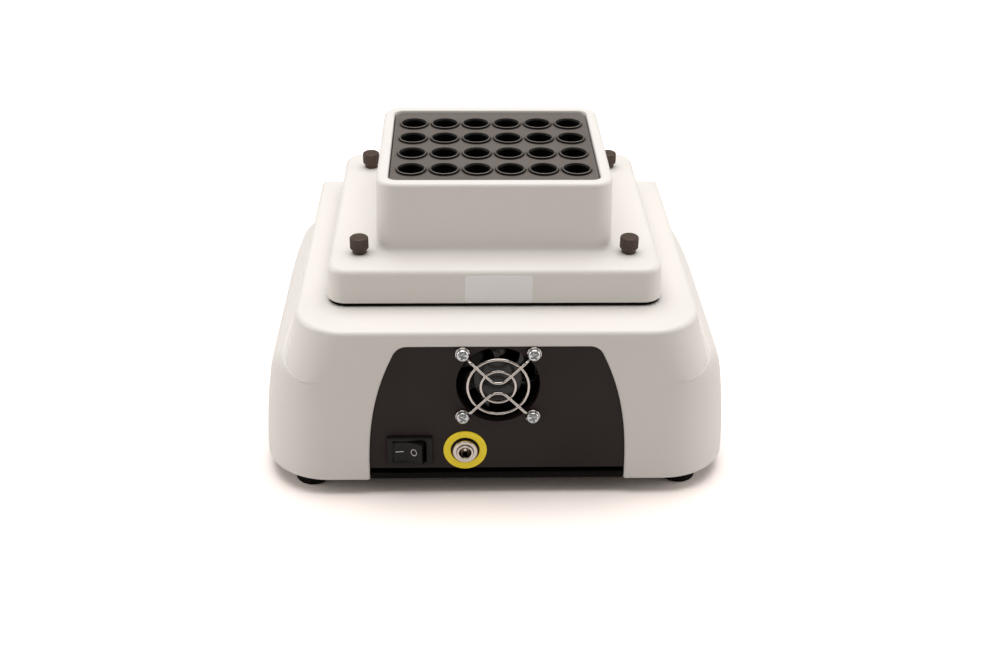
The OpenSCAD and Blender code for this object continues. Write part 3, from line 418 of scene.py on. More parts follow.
# the crest swells outwards where it sweeps down at the rear: a fixed share of its drop, up to a limit
def swelling(y):
    drop = housing["low"] + housing["shoulder"] - crest(y)
    return np.where(y > sweepY, housing["swell"] * np.clip(drop, 0, housing["swellOver"]), 0)


# steps round a corner, and places along the side, closer together where the shoulder bends
cornerAngles = np.linspace(90, 0, 25)
sideY = np.concatenate([np.linspace(rearY - 38, breakY + 12, 44), np.linspace(breakY + 10, breakY - 22, 26)])


# a half outline as x and y: quarter circle at the rear, straight side, quarter circle at the front
def halfOutline(half, rear, front, r):
    a = np.radians(cornerAngles)
    turn = half - r + r * np.cos(a)
    x = np.concatenate([turn, np.full(len(sideY), half), turn[::-1]])
    y = np.concatenate([rear - r + r * np.sin(a), sideY, front + r - r * np.sin(a[::-1])])
    return x, y


# the half outline and its mirror image about x = 0, as one ring
def wholeRing(x, y, z):
    left = np.stack([-x, y, z], -1)
    return np.concatenate([left, np.stack([x, y, z], -1)[::-1]])


# 1 along the sides, falling to 0 where the groove runs out at the rear and before the front
def grooved(y):
    (rear, rearFade), (front, frontFade) = housing["grooveEnds"]
    return np.clip((rearY - rear - y) / rearFade, 0, 1) * np.clip((y - frontY - front) / frontFade, 0, 1)


# the skirt from its lower edge, share u = 0, to the crest, u = 1, drawn in by t
def skirtRing(u, t):
    drawn = skirtInset(u)
    r = housing["corner"] - drawn * housing["cornerTaper"] - housing["crestCorner"] * u ** 8 - t
    x, y = halfOutline(housing["width"] / 2 - drawn - t, rearAt(housing["low"] + u * rearEnd) - t,
                       frontY + housing["crestSetBack"] * drawn + t, r)
    return wholeRing(x + swelling(y) * u ** 6, y, housing["low"] + u * (crest(y) - housing["low"]) - t * u)


# the small round lip inside the crest: it sinks along the sides and rises a little past them
def lipRing(drawn, sunk, raised):
    crestIn = skirtInset(1.0)
    r = housing["corner"] - crestIn * housing["cornerTaper"] - housing["crestCorner"] - drawn
    x, y = halfOutline(housing["width"] / 2 - crestIn - drawn, rearAt(housing["low"] + rearEnd + raised),
                       frontY + housing["crestSetBack"] * crestIn + 0.3 * drawn, r)
    share = grooved(y)
    return wholeRing(x + swelling(y), y, crest(y) - sunk * share + raised * (1 - share))


# the crown from its foot in the groove, share v = 0, to the edge under the roof, v = 1
def crownRing(v, t, drop, pulled):
    footZ = rearEnd + housing["low"] + 1
    footR, topR = housing["grooveCorner"] - t, housing["corner"] - 8 - t - pulled
    half = (1 - v) * (crownHalf + housing["grooveOut"] - t) + v * (crownHalf + 0.2 - t - pulled)
    rear = (1 - v) * rearAt(footZ) + v * rearAt(housing["top"] - drop) - t - v * pulled
    front = frontY + (1 - v) * housing["footSetBack"] + v * housing["crownSetBack"] + t + v * pulled
    x, y = halfOutline(half, rear, front, (1 - v) * footR + v * topR)
    share = grooved(y)
    foot = crest(y) - housing["grooveDeep"] * share + housing["footRise"] * (1 - share) - t
    return wholeRing(x + swelling(y) * (1 - v) ** 2, y, (1 - v) * foot + v * (roof(y) - drop))


# the flat top as bands from the ring's left half to its right half
def topBands(ring):
    half = len(ring) // 2
    return gridPatch(np.stack([ring[:half], ring[half:][::-1]], 1))


# each step of the lip is (drawn in, sunk along the sides, raised past them)
lipSteps = ((0.5, 0.03, 0.2), (0.95, 0.2, 0.45), (1.3, 0.42, 0.7), (1.5, 0.6, 0.9))


# skirt, lip, crown and the top's rounded edge, then the inner skin, one wall further in
def housingSkins():
    e, w = housing["edge"], housing["wall"]
    outer = [skirtRing(v, 0.0) for v in 1 - (1 - np.linspace(0, 1, 34)) ** 1.5]
    outer += [lipRing(*step) for step in lipSteps]
    outer += [crownRing(v, 0.0, e, 0.0) for v in np.linspace(0, 1, 13) ** 1.4]
    outer += [crownRing(1.0, 0.0, down, pulled) for pulled, down in quarter(e, 12, 8)]
    inner = [skirtRing(0.0, w)] + [skirtRing(v, w) for v in np.linspace(0.25, 0.85, 8)]
    inner += [crownRing(v, w, w, 0.0) for v in (0.0, 0.5, 1.0)]
    lower = np.stack([outer[0], inner[0]])
    return [gridPatch(np.stack(outer), closeAcross=True), topBands(outer[-1]),
            gridPatch(np.stack(inner), closeAcross=True), topBands(inner[-1]),
            gridPatch(lower, closeAcross=True)]


# the arched opening at the rear

port = dict(width=118.6, topWidth=96.0, height=69.0, corner=7.0, power=2.6, roundOver=0.7,
            below=6.0, outside=3.0, inside=9.0)


# the opening's right side, from its foot up and round its corner, grown outwards by g: a
# power curve that leans in, then an arc that meets it without a kink
def portSide(g):
    r, fall = port["corner"], (port["width"] - port["topWidth"]) / 2
    span = port["height"] - r + 1
    lean = math.atan(port["power"] * fall / span)
    h = np.linspace(-port["below"], port["height"] - r * (1 - math.sin(lean)), 40)
    x = port["width"] / 2 - fall * (np.clip(h, 0, None) / span) ** port["power"]
    side = np.stack([x + g, h], -1)
    centre = (x[-1] - r * math.cos(lean), h[-1] - r * math.sin(lean))
    return np.vstack([side[:-1], arc(centre, r + g, math.degrees(lean), 90, 14)])


# the cutter widens towards the outside along a quarter circle, so the opening's edge is rounded
def portCutter():
    r = port["roundOver"]
    rows = [(port["outside"], r)] + [(0.02 - r + down, down) for _, down in quarter(r, 8)]
    rings = []
    for out, g in rows + [(-port["inside"], 0.0)]:
        side = portSide(g)
        flat = np.vstack([side, (side * (-1, 1))[::-1]])
        z = housing["low"] + flat[:, 1]
        rings.append(np.stack([flat[:, 0], rearAt(z) + out, z], -1))
    return meshObject("portCutter", closedTube(np.stack(rings)))


# where the drive's shafts pass through the top, and the half sizes of the keypad's slot
drive = dict(y=20.0, idlerX=44.0, idlerY=26.0, crankHole=15.0, idlerHole=11.0, cutFrom=70, cutTo=90)
keypadSlot = dict(halfWidth=62, halfHeight=21, corner=1.0, reach=5.2)


# one round rod for each spot, all in one cutter
def roundCutters(name, spots, radius, low, high):
    tube = closedTube(lathe([(radius, low), (radius, high)], 48))
    return meshObject(name, [patch for x, y in spots for patch in moved(tube, lambda p: p + (x, y, 0))])


slopeMid = breakY - housing["slopeRun"] / 2 + 4
slopeRad = math.radians(housing["slope"])


# local places on the slope: x across, y up the slope, z outwards
def onSlope(points, x=0.0, y=0.0):
    px, py, pz = points[..., 0] + x, points[..., 1] + y, points[..., 2]
    base = housing["slopeTop"] - (breakY - slopeMid) * slopeTan
    return np.stack([px, slopeMid + py * math.cos(slopeRad) - pz * math.sin(slopeRad),
                     base + py * math.sin(slopeRad) + pz * math.cos(slopeRad)], -1)


idlerSpots = [(x * drive["idlerX"], drive["y"] + y * drive["idlerY"]) for x in (-1, 1) for y in (-1, 1)]
shell = meshObject("housingShell", housingSkins())
cutAway(shell, portCutter())
for name, spots, radius in (("crankPassages", [(0, drive["y"])], drive["crankHole"]),
                            ("idlerPassages", idlerSpots, drive["idlerHole"])):
    cutAway(shell, roundCutters(name, spots, radius, drive["cutFrom"], drive["cutTo"]))
slot = plate(roundRect(keypadSlot["halfWidth"], keypadSlot["halfHeight"], keypadSlot["corner"], 4),
             -keypadSlot["reach"], keypadSlot["reach"], 0.0)
cutAway(shell, meshObject("keypadCutter", moved(slot, onSlope)))
settle(shell, materials["absMouldedWhite"], "base", ["housing"])
print("housing done:", len(shell.data.polygons), "faces")


# places on the leaning rear panel: x across, y outwards, z up the panel

rearPanel = dict(fanHeight=49.4, rowHeight=15.3, reveal=1.0)
panelY = rearAt(housing["low"] + rearPanel["fanHeight"]) - rearPanel["reveal"]
leanRad = math.radians(housing["lean"])


# local places turned by the rear wall's lean about the fan's height
def onPanel(points, x=0.0, h=rearPanel["fanHeight"]):
    px, py, pz = points[..., 0] + x, points[..., 1], points[..., 2] + h - rearPanel["fanHeight"]
    return np.stack([px, panelY + py * math.cos(leanRad) - pz * math.sin(leanRad),
                     housing["low"] + rearPanel["fanHeight"] + py * math.sin(leanRad) + pz * math.cos(leanRad)], -1)


# a lathe or a plate made along Z is laid so that its Z points out of the panel
def outwards(points):
    return np.stack([points[..., 0], points[..., 2], -points[..., 1]], -1)


# a piece made along Z, stood on the panel at its place
def panelPiece(name, patches, x=0.0, h=rearPanel["fanHeight"]):
    return meshObject(name, moved(patches, lambda p: onPanel(outwards(p), x, h)))


# fan: wheel, guard and screws

fan = dict(pitch=32.0, blades=7, hub=11.5, tip=18.3, depth=7.0, back=-11.9, hubEdge=1.4, hubPitch=42,
           untwist=14, hubChord=5.6, chordGrowth=1.6, bladeHalf=0.45, bow=0.9, sweep=0.25, axle=1.5)
guard = dict(wire=1.35, outerRing=27.6, innerRing=15.7, waist=2.6, splay=1.03, reach=12.2, eye=2.8,
             eyeFrom=232, eyeTurn=300, high=3.1)
fanScrew = dict(head=2.9, rim=0.7, dome=1.5, recess=1.75, shank=1.5, long=17.7, turns=(20, 55, 35, 70))


# one blade: radius along one parameter and chord along the other, pitched 42 degrees at the
# hub and 28 at the tip, with its chord bowed by a parabola
def fanBlades():
    patches = []
    r = np.linspace(fan["hub"] - 0.6, fan["tip"], 10)[:, None]
    c = np.linspace(-1, 1, 13)[None, :]
    share = (r - fan["hub"]) / (fan["tip"] - fan["hub"])
    pitch = np.radians(fan["hubPitch"] - fan["untwist"] * share)
    chord = fan["hubChord"] + fan["chordGrowth"] * share
    mid, most = fan["back"] + fan["depth"] / 2, fan["depth"] / 2 - 0.2
    axial = np.clip(c * chord * np.sin(pitch) * 0.8 + fan["bow"] * (1 - c ** 2), -most, most)
    for turn in fullTurn(fan["blades"]):
        angle = turn + fan["sweep"] * share ** 2 + c * chord * np.cos(pitch) / r
        top, low = (np.stack([r * np.cos(angle), r * np.sin(angle), mid + axial + half], -1)
                    for half in (fan["bladeHalf"], -fan["bladeHalf"]))
        patches += closedTube(np.concatenate([top, low[:, ::-1]], 1))
    return patches


# a rod along Z as a turned patch with flat ends
def rod(radius, low, high, around=24):
    return turned([(0, low), (radius, low), (radius, high), (0, high)], around)


hubFront = fan["back"] + fan["depth"]
hubProfile = softened([(0, fan["back"]), (fan["hub"], fan["back"]), (fan["hub"], hubFront), (0, hubFront + 0.01)],
                      fan["hubEdge"], 6)
wheel = panelPiece("fanWheel", [turned(hubProfile, 72), rod(fan["axle"], fan["back"] - 2, fan["back"] + 1)]
                   + fanBlades())
settle(wheel, materials["pbtPolishedBlack"], "fan_wheel", ["fan_rotor"])


# the cross wires: z^4 = waist^4 + (splay x)^4, level over the rings, a short ramp down
# near each screw, and three quarters of a circle round it
def crossWire(sign):
    x = np.linspace(-guard["reach"], guard["reach"], 61)
    z = (guard["waist"] ** 4 + (guard["splay"] * x) ** 4) ** 0.25
    level = np.stack([x, np.full(len(x), guard["high"]), z], -1)
    half = fan["pitch"] / 2
    eye = arc((half, half), guard["eye"], guard["eyeFrom"], guard["eyeFrom"] + guard["eyeTurn"], 34)
    right = np.stack([eye[:, 0], np.full(len(eye), guard["wire"] / 2 + 0.05), eye[:, 1]], -1)
    t = np.linspace(0, 1, 9)[1:-1, None]
    rise = level[-1] * (1 - t) + right[0] * t
    smooth = t * t * (3 - 2 * t)
    rise[:, 1:2] = level[-1, 1] * (1 - smooth) + right[0, 1] * smooth
    right = np.vstack([rise, right])
    path = np.vstack([right[::-1] * (-1, 1, 1), level, right])
    path[:, 2] *= sign
    return wire(path, guard["wire"] / 2, (0, 1, 0))


wires = crossWire(1) + crossWire(-1)
for across in (guard["outerRing"], guard["innerRing"]):
    circle = arc((0, 0), across / 2, 0, 360, 97)[:-1]
    ringLevel = np.full(len(circle), guard["high"] - guard["wire"] + 0.1)
    wires += wire(np.stack([circle[:, 0], ringLevel, circle[:, 1]], -1), guard["wire"] / 2, (0, 1, 0), closed=True)
guardPiece = meshObject("fanGuardWires", moved(wires, onPanel))
settle(guardPiece, materials["steelWireChrome"], "base", ["fan_guard"], sharp=60)


# pan head: a dome of a circle's arc over a straight rim, with a cross recess whose depth
# falls off from the middle
def panHead(radius, rim, dome, under, recess):
    r = np.concatenate([np.linspace(0, radius * 0.93, 22), np.linspace(radius * 0.95, radius, 5)])
    distance, angle = np.meshgrid(r, fullTurn(72), indexing="ij")
    x, y = distance * np.cos(angle), distance * np.sin(angle)
    top = under + rim + dome * np.sqrt(np.clip(1 - (distance / radius) ** 2.4, 0, 1))
    arm, reach = np.minimum(np.abs(x), np.abs(y)), np.maximum(np.abs(x), np.abs(y))
    inside = np.clip((0.5 - arm) / 0.14, 0, 1) * np.clip((recess - reach) / 0.3, 0, 1)
    grid = np.stack([x, y, top - inside * (1.7 - 0.45 * reach)], -1)
    edge = grid[-1, :, :2]
    foot, inner = atHeight(edge, under), atHeight(edge * 0.5, under)
    return [gridPatch(np.concatenate([grid, foot[None], inner[None]]), closeAcross=True), lidPatch(inner)]


fourCorners = ((-1, -1), (1, -1), (-1, 1), (1, 1))
headUnder = guard["wire"] + 0.08
for k, (sx, sz) in enumerate(fourCorners):
    turn = math.radians(fanScrew["turns"][k])
    spin = np.array([[math.cos(turn), math.sin(turn), 0], [-math.sin(turn), math.cos(turn), 0], [0, 0, 1]])
    head = moved(panHead(fanScrew["head"], fanScrew["rim"], fanScrew["dome"], headUnder, fanScrew["recess"]),
                 lambda p: p @ spin)
    half = fan["pitch"] / 2
    screw = panelPiece(f"fanScrew{k + 1}", head + [rod(fanScrew["shank"], -fanScrew["long"], headUnder)],
                       sx * half, rearPanel["fanHeight"] + sz * half)
    settle(screw, materials["screwZincBlue"], "base", ["fan_screws"] if k == 0 else (), sharp=50)
print("fan done")


# switch

switch = dict(x=40.4, width=21.0, height=15.0, bezel=1.8, openX=7.6, openZ=5.5, depth=7.0,
              pivot=1.5, throw=22.0, reach=6.7, crownEnd=4.8, crownMid=3.2, bodyX=9.3, bodyZ=6.3, bodyDeep=15.0,
              tabs=(-5.5, 0.0, 5.5), pin=1.2)


# bezel: rings from the outer foot over the rounded frame and down into the well
def bezelPatches():
    w, h = switch["width"] / 2, switch["height"] / 2
    x, z, t = switch["openX"], switch["openZ"], switch["bezel"]
    steps = [(w, h, 1.0, 0.02), (w, h, 1.0, t - 0.6), (w - 0.17, h - 0.17, 0.9, t - 0.17), (w - 0.6, h - 0.6, 0.7, t),
             (x + 0.5, z + 0.5, 0.9, t), (x + 0.12, z + 0.12, 0.6, t - 0.12), (x, z, 0.5, t - 0.5),
             (x, z, 0.5, -switch["depth"])]
    rings = [atHeight(roundRect(a, b, r, 7), level) for a, b, r, level in steps]
    body = roundRect(switch["bodyX"], switch["bodyZ"], 0.5, 7)
    back = [atHeight(body, -switch["bodyDeep"]), atHeight(body, 0.02)]
    return [gridPatch(np.stack(rings), closeAcross=True), lidPatch(rings[-1]),
            gridPatch(np.stack(back + [rings[0]]), closeAcross=True), lidPatch(back[0])]


# a piece of the lower row, beside the switch's or the inlet's axis
def rowPiece(name, patches, x):
    return panelPiece(name, patches, x, rearPanel["rowHeight"])


tab = plate(roundRect(0.4, 2.4, 0.15, 3), -22, -14.5, 0.15)
terminals = [patch for x in switch["tabs"] for patch in moved(tab, lambda p: p + (x, 0, 0))]
settle(rowPiece("switchBezel", bezelPatches(), switch["x"]), materials["nylonMouldedBlack"], "base",
       ["switch_body"], sharp=40)
settle(rowPiece("switchTerminals", terminals, switch["x"]), materials["brassNickelPlated"], "base")


# height of the rocker's face over its pivot, a shallow valley: a parabola from the middle to both ends
def rockerFace(x):
    return switch["crownMid"] + (switch["crownEnd"] - switch["crownMid"]) * (x / switch["reach"]) ** 2


# local rocker coordinates (x across, height over the pivot, z) turned by half the throw and set on the panel
def onRocker(points):
    a = -math.radians(switch["throw"] / 2)
    x = points[..., 0] * math.cos(a) - points[..., 1] * math.sin(a)
    y = points[..., 0] * math.sin(a) + points[..., 1] * math.cos(a) - switch["pivot"]
    return onPanel(np.stack([x, y, points[..., 2]], -1), switch["x"], rearPanel["rowHeight"])


# the rocker's side view, a wedge under its valley face, made as thick as the opening, with its pin
def rockerPatches():
    n = switch["reach"]
    x = np.linspace(-n, n, 41)
    face = np.stack([x, rockerFace(x)], -1)
    sides = [(n, 1.2), (2.4, -3.6), (-2.4, -3.6), (-n, 1.2)]
    outline = softened(np.vstack([face[20:], sides, face[:21]]), 0.5, 3)[:-1]
    outline = outline[::-1] if np.cross(outline[1] - outline[0], outline[2] - outline[1]) < 0 else outline
    z = switch["openZ"] - 0.3
    return plate(outline, -z, z, 0.5, 0.5) + [rod(switch["pin"], -z - 0.6, z + 0.6)]


rockerPiece = meshObject("rockerKey", moved(rockerPatches(), onRocker))
settle(rockerPiece, materials["nylonMouldedBlack"], "switch_rocker", ["rocker"], sharp=30)


# the ON bar and the OFF ring lie 0.03 mm over the rocker's face
def faceMark(x, z):
    return np.stack([x, rockerFace(x) + 0.03, z], -1)


legend = dict(barFrom=2.2, barTo=5.8, barHalf=0.2, ringX=-2.6, ringHalfX=1.5, ringHalfZ=1.8,
              shares=(0.78, 0.88, 0.98))
barX, barZ = np.meshgrid(np.linspace(legend["barFrom"], legend["barTo"], 12),
                         np.linspace(-legend["barHalf"], legend["barHalf"], 3), indexing="ij")
a = fullTurn(48)
ringBand = np.stack([np.stack([legend["ringX"] + s * legend["ringHalfX"] * np.cos(a),
                               s * legend["ringHalfZ"] * np.sin(a)], -1) for s in legend["shares"]])
marks = [gridPatch(faceMark(barX, barZ)),
         gridPatch(faceMark(ringBand[..., 0], ringBand[..., 1]), closeAcross=True)]
markPiece = meshObject("rockerMarks", moved(marks, onRocker))
solid = markPiece.modifiers.new("thickness", "SOLIDIFY")
solid.thickness = 0.06 * mm
solid.offset = 0
settle(markPiece, materials["inkWhite"], "switch_rocker")


# power inlet

inlet = dict(x=14.9, barrel=3.8, bore=2.85, boreDeep=9.7, proud=3.2, shoulder=5.5, shoulderAt=-3.72, back=-15.6,
             pin=1.0, pinTip=0.4, nut=5.7, nutHigh=2.4, ringOut=10.0, ringIn=6.7, ringThick=0.5)


# a washer's closed profile with rounded corners
def washer(inner, outer, low, high, round, steps):
    return softened([(inner, low), (outer, low), (outer, high), (inner, high), (inner, low)], round, steps)


barrel = softened([(inlet["bore"], -inlet["boreDeep"]), (inlet["bore"], inlet["proud"]),
                   (inlet["barrel"], inlet["proud"]), (inlet["barrel"], inlet["shoulderAt"]),
                   (inlet["shoulder"], inlet["shoulderAt"]), (inlet["shoulder"], inlet["back"]),
                   (0, inlet["back"])], 0.35, 4)
pinFoot = -inlet["boreDeep"] - 0.2
pinTip = softened([(0, inlet["pinTip"]), (inlet["pin"], inlet["pinTip"]), (inlet["pin"], pinFoot), (0, pinFoot)],
                  0.5, 5)
jack = [turned(np.vstack([[(0, -inlet["boreDeep"])], barrel]), 72), turned(pinTip, 32)]
nut = washer(inlet["barrel"] + 0.04, inlet["nut"], 0.02, inlet["nutHigh"], 0.6, 5)
band = washer(inlet["ringIn"], inlet["ringOut"], 0.01, inlet["ringThick"], 0.15, 3)
for name, patches, finishName, slotName, node in (
        ("inletBarrel", jack, "brassNickelPlated", "nickel", "inlet_jack"),
        ("inletNut", [turned(nut, 72)], "brassNickelPlated", "nickel", "inlet_nut"),
        ("inletRing", [turned(band, 96)], "vinylYellow", "yellow_ring", "inlet_ring")):
    settle(rowPiece(name, patches, inlet["x"]), materials[finishName], "base", [node])
print("switch and inlet done")


# cover over the block

tray = dict(x=1.0, y=20.0)
cover = dict(low=87.2, flangeTop=103.4, rim=137.0, flangeW=76.2, flangeD=69.0, flare=0.6, flangeR=9.0,
             flangeEdge=3.0, riserW=54.0, riserD=49.3, riserFlare=0.9, riserR=9.2, riserEdge=2.0,
             footFillet=3.0, innerW=48.7, innerD=43.9, innerR=4.4, innerEdge=0.8, wall=3.0, ledge=3.4, step=0.8)


# places over the tray's centre
def onTray(points):
    return points + (tray["x"], tray["y"], 0)


# each level is (half width, half depth, corner radius, height); the profile closes on itself
def coverLevels():
    c = cover

    # a named outline of the cover, larger all round by "out"
    def grown(name, out, z):
        return c[name + "W"] + out, c[name + "D"] + out, c[name + "R"] + out, z

    ledgeZ, roofZ = c["rim"] - c["ledge"], c["flangeTop"] - c["wall"]
    levels = [(c["flangeW"] + c["flare"], c["flangeD"] + c["flare"], c["flangeR"], c["low"])]
    levels += [grown("flange", -drawn, c["flangeTop"] - down) for drawn, down in quarter(c["flangeEdge"], 10)]
    levels += [grown("riser", c["riserFlare"] + out, c["flangeTop"] + up) for up, out in quarter(c["footFillet"], 10)]
    levels += [grown("riser", -drawn, c["rim"] - down) for drawn, down in quarter(c["riserEdge"], 10)]
    levels += [grown("inner", drawn, c["rim"] - down) for drawn, down in quarter(c["innerEdge"], 6, 90, 0)]
    return levels + [grown("inner", 0, ledgeZ), grown("inner", c["step"], ledgeZ - 0.2),
                     grown("inner", c["step"], roofZ), grown("flange", -c["wall"], roofZ),
                     grown("flange", -c["wall"], c["low"])]


# one level of the cover as a ring
def levelRing(halfWidth, halfDepth, radius, z, steps=13):
    return atHeight(roundRect(halfWidth, halfDepth, radius, steps), z)


thumb = dict(x=62.2, y=50.2, r=4.3, collarR=3.3, collar=1.6, tall=6.4, teeth=30, knurl=0.22, shank=1.95,
             long=11.0, hole=2.3, holeLow=95, holeHigh=108)
coverRings = np.stack([levelRing(*level) for level in coverLevels()])
coverPiece = meshObject("blockCover", moved([gridPatch(coverRings, closeAcross=True, closeAlong=True)], onTray))
thumbSpots = [(tray["x"] + x * thumb["x"], tray["y"] + y * thumb["y"]) for x, y in fourCorners]
cutAway(coverPiece, roundCutters("thumbHoles", thumbSpots, thumb["hole"], thumb["holeLow"], thumb["holeHigh"]))
settle(coverPiece, materials["absMouldedWhite"], "tray", ["block_cover"])

# a dead black strip inside the flange, just clear of the housing's top: painted shade that darkens the gap over the
# housing
shadeStrip = dict(inside=0.5, thick=3.0, clear=0.25, up=4.0, bevel=0.3)
shadeStripHigh, shadeStripLow = cover["low"] + shadeStrip["up"], housing["top"] + shadeStrip["clear"]
shadeStripRings = [levelRing(cover["flangeW"] + cover["flare"] - shadeStrip["inside"] - drawn,
                       cover["flangeD"] + cover["flare"] - shadeStrip["inside"] - drawn,
                       cover["flangeR"] - shadeStrip["inside"] - drawn, z)
             for drawn, z in ((0.0, shadeStripHigh), (0.0, shadeStripLow + shadeStrip["bevel"]), (shadeStrip["bevel"], shadeStripLow),
                              (shadeStrip["thick"], shadeStripLow), (shadeStrip["thick"], shadeStripHigh))]
shadeStripPatch = gridPatch(np.stack(shadeStripRings), closeAcross=True, closeAlong=True)
settle(meshObject("coverShadeStrip", moved([shadeStripPatch], onTray)), materials["shadeStripBlack"], "tray")

label = dict(width=30.6, height=13.2, radius=1.2, x=-1.6, up=0.3, thick=0.2, round=0.06)
labelLean = math.atan(cover["flare"] / (cover["flangeTop"] - cover["flangeEdge"] - cover["low"]))


# the label's own plane, leant back by the flange's draught
def onFlange(points):
    x, up, out = points[..., 0], points[..., 1], points[..., 2]
    c, s = math.cos(labelLean), math.sin(labelLean)
    return np.stack([tray["x"] + label["x"] + x, tray["y"] + cover["flangeD"] + cover["flare"] + out * c - up * s,
                     cover["low"] + up * c + out * s], -1)


sticker = plate(roundRect(label["width"] / 2, label["height"] / 2, label["radius"], 8), 0.01, label["thick"],
                label["round"])
sticker = moved(sticker, lambda p: onFlange(p + (0, label["up"] + label["height"] / 2, 0)))
settle(meshObject("coverLabel", sticker), materials["filmLabel"], "tray", ["cover_label"])


# tube block: 24 cells, each a grid from its rectangle to the well's floor

block = dict(low=92.5, face=135.2, width=96.2, depth=86.6, corner=4.0, edge=0.5, colPitch=15.4,
             rowPitch=19.2, cols=6, rows=4, wellR=5.6, mouthR=6.1, mouthDeep=0.9, collarR=6.8, collar=1.0,
             deep=35.0, floorEdge=2.0, chamfer=0.2, foot=0.15, perSide=16)


# lines between cells at the pitch; the outermost two lie on the block's sides
def cellEdges(count, pitch, half):
    lines = (np.arange(count + 1) - count / 2) * pitch
    lines[0], lines[-1] = -half, half
    return lines


# points beyond the block's rounded corners are drawn in onto them, along the line to the corner's centre
def roundedIn(points):
    cx, cy = block["width"] / 2 - block["corner"], block["depth"] / 2 - block["corner"]
    dx, dy = np.abs(points[..., 0]) - cx, np.abs(points[..., 1]) - cy
    length = np.hypot(dx, dy)
    out = (dx > 0) & (dy > 0) & (length > block["corner"])
    k = np.where(out, block["corner"] / np.maximum(length, 1e-9), 1.0)
    x = np.where(out, np.sign(points[..., 0]) * (cx + dx * k), points[..., 0])
    y = np.where(out, np.sign(points[..., 1]) * (cy + dy * k), points[..., 1])
    return np.stack([x, y], -1)


# one cell: its rectangle, the collar's ring, the mouth and the well, narrowing to a point on the floor
def cellPatch(x0, x1, y0, y1, cx, cy):
    corners = np.array([(x1, y0), (x1, y1), (x0, y1), (x0, y0)])
    t = np.linspace(0, 1, block["perSide"] + 1)[:-1, None]
    sides = [start + (end - start) * t for start, end in zip(corners, np.roll(corners, -1, 0))]
    a = np.radians(-45) + fullTurn(4 * block["perSide"])
    circle = np.stack([np.cos(a), np.sin(a)], -1)
    c, b, well, ring, mouth = (block[name] for name in ("chamfer", "foot", "wellR", "collarR", "mouthR"))
    face, top, low = block["face"], block["face"] + block["collar"], block["face"] - block["deep"]
    profile = [(ring + 1.0, face), (ring + b, face), (ring, face + b), (ring, top - c),
               (ring - 0.3 * c, top - 0.3 * c), (ring - c, top), (mouth + c, top), (mouth, top - c),
               (well, top - block["mouthDeep"]), (well, low + block["floorEdge"]),
               (well - 0.3 * block["floorEdge"], low + 0.3 * block["floorEdge"]), (well - block["floorEdge"], low),
               (0, low)]
    rows = [atHeight(roundedIn(np.concatenate(sides)), face)]
    rows += [atHeight((cx, cy) + r * circle, z) for r, z in profile]
    return gridPatch(np.stack(rows), closeAcross=True)


# all cells, then the block's sides from the cells' outer edges down, and its underside
def blockPatches():
    xs = cellEdges(block["cols"], block["colPitch"], block["width"] / 2)
    ys = cellEdges(block["rows"], block["rowPitch"], block["depth"] / 2)
    patches = [cellPatch(xs[i], xs[i + 1], ys[j], ys[j + 1], (i - (block["cols"] - 1) / 2) * block["colPitch"],
                         (j - (block["rows"] - 1) / 2) * block["rowPitch"])
               for i in range(block["cols"]) for j in range(block["rows"])]
    t = np.linspace(0, 1, block["perSide"] + 1)[:-1]
    alongX, alongY = (np.concatenate([low + (high - low) * t for low, high in zip(edges, edges[1:])])
                      for edges in (xs, ys))
    w, d = block["width"] / 2, block["depth"] / 2
    border = roundedIn(np.concatenate([np.stack(np.broadcast_arrays(x, y), -1) for x, y in
                                       ((alongX, -d), (w, alongY), (-alongX, d), (-w, -alongY))]))
    # the cells' outer edge is the flat face's edge; the block's sides drop from it
    rings = [atHeight(border, z) for z in (block["face"], block["face"] - block["edge"], block["low"])]
    return patches + [gridPatch(np.stack(rings), closeAcross=True), lidPatch(rings[-1])]


# marks the points where the colour is darkened as painted shade: on well walls, on the collars' sides with a thin
# ring round their feet, and on everything more than 0.3 mm below the face
def markPaintedShade(piece):
    count = len(piece.data.vertices)
    co = np.zeros(count * 3, np.float32)
    piece.data.vertices.foreach_get("co", co)
    x, y, z = (co.reshape(-1, 3) / mm - (tray["x"], tray["y"], 0)).T

    # how far a coordinate lies from the middle of the nearest cell
    def fromCell(along, pitch, count):
        cell = np.clip(np.round(along / pitch - 0.5), -count / 2, count / 2 - 1) + 0.5
        return along - cell * pitch

    r = np.hypot(fromCell(x, block["colPitch"], block["cols"]), fromCell(y, block["rowPitch"], block["rows"]))
    below = z < block["face"] + block["collar"] - 0.5 * block["chamfer"]
    side = (r < block["collarR"] + 0.3) & (r > block["collarR"] - 0.02)
    # 1 where painted shade darkens the colour; the "deep" attribute carries this painted shade to the material
    deep = (below & ((r < block["mouthR"] + 0.02) | side)) | (z < block["face"] - 0.3)
    mark = piece.data.attributes.new("deep", "FLOAT", "POINT")
    mark.data.foreach_set("value", np.where(deep, 1.0, 0.0).astype(np.float32))


blockPiece = meshObject("tubeBlock", moved(blockPatches(), onTray))
# painted shade inside the wells, on the collars' sides and round their feet
markPaintedShade(blockPiece)
settle(blockPiece, materials["aluminiumHardAnodised"], "tray", ["tube_block"], sharp=30)
print("cover and block done:", len(blockPiece.data.polygons), "faces")


# thumbscrews: a turned profile whose knurled part has fine teeth

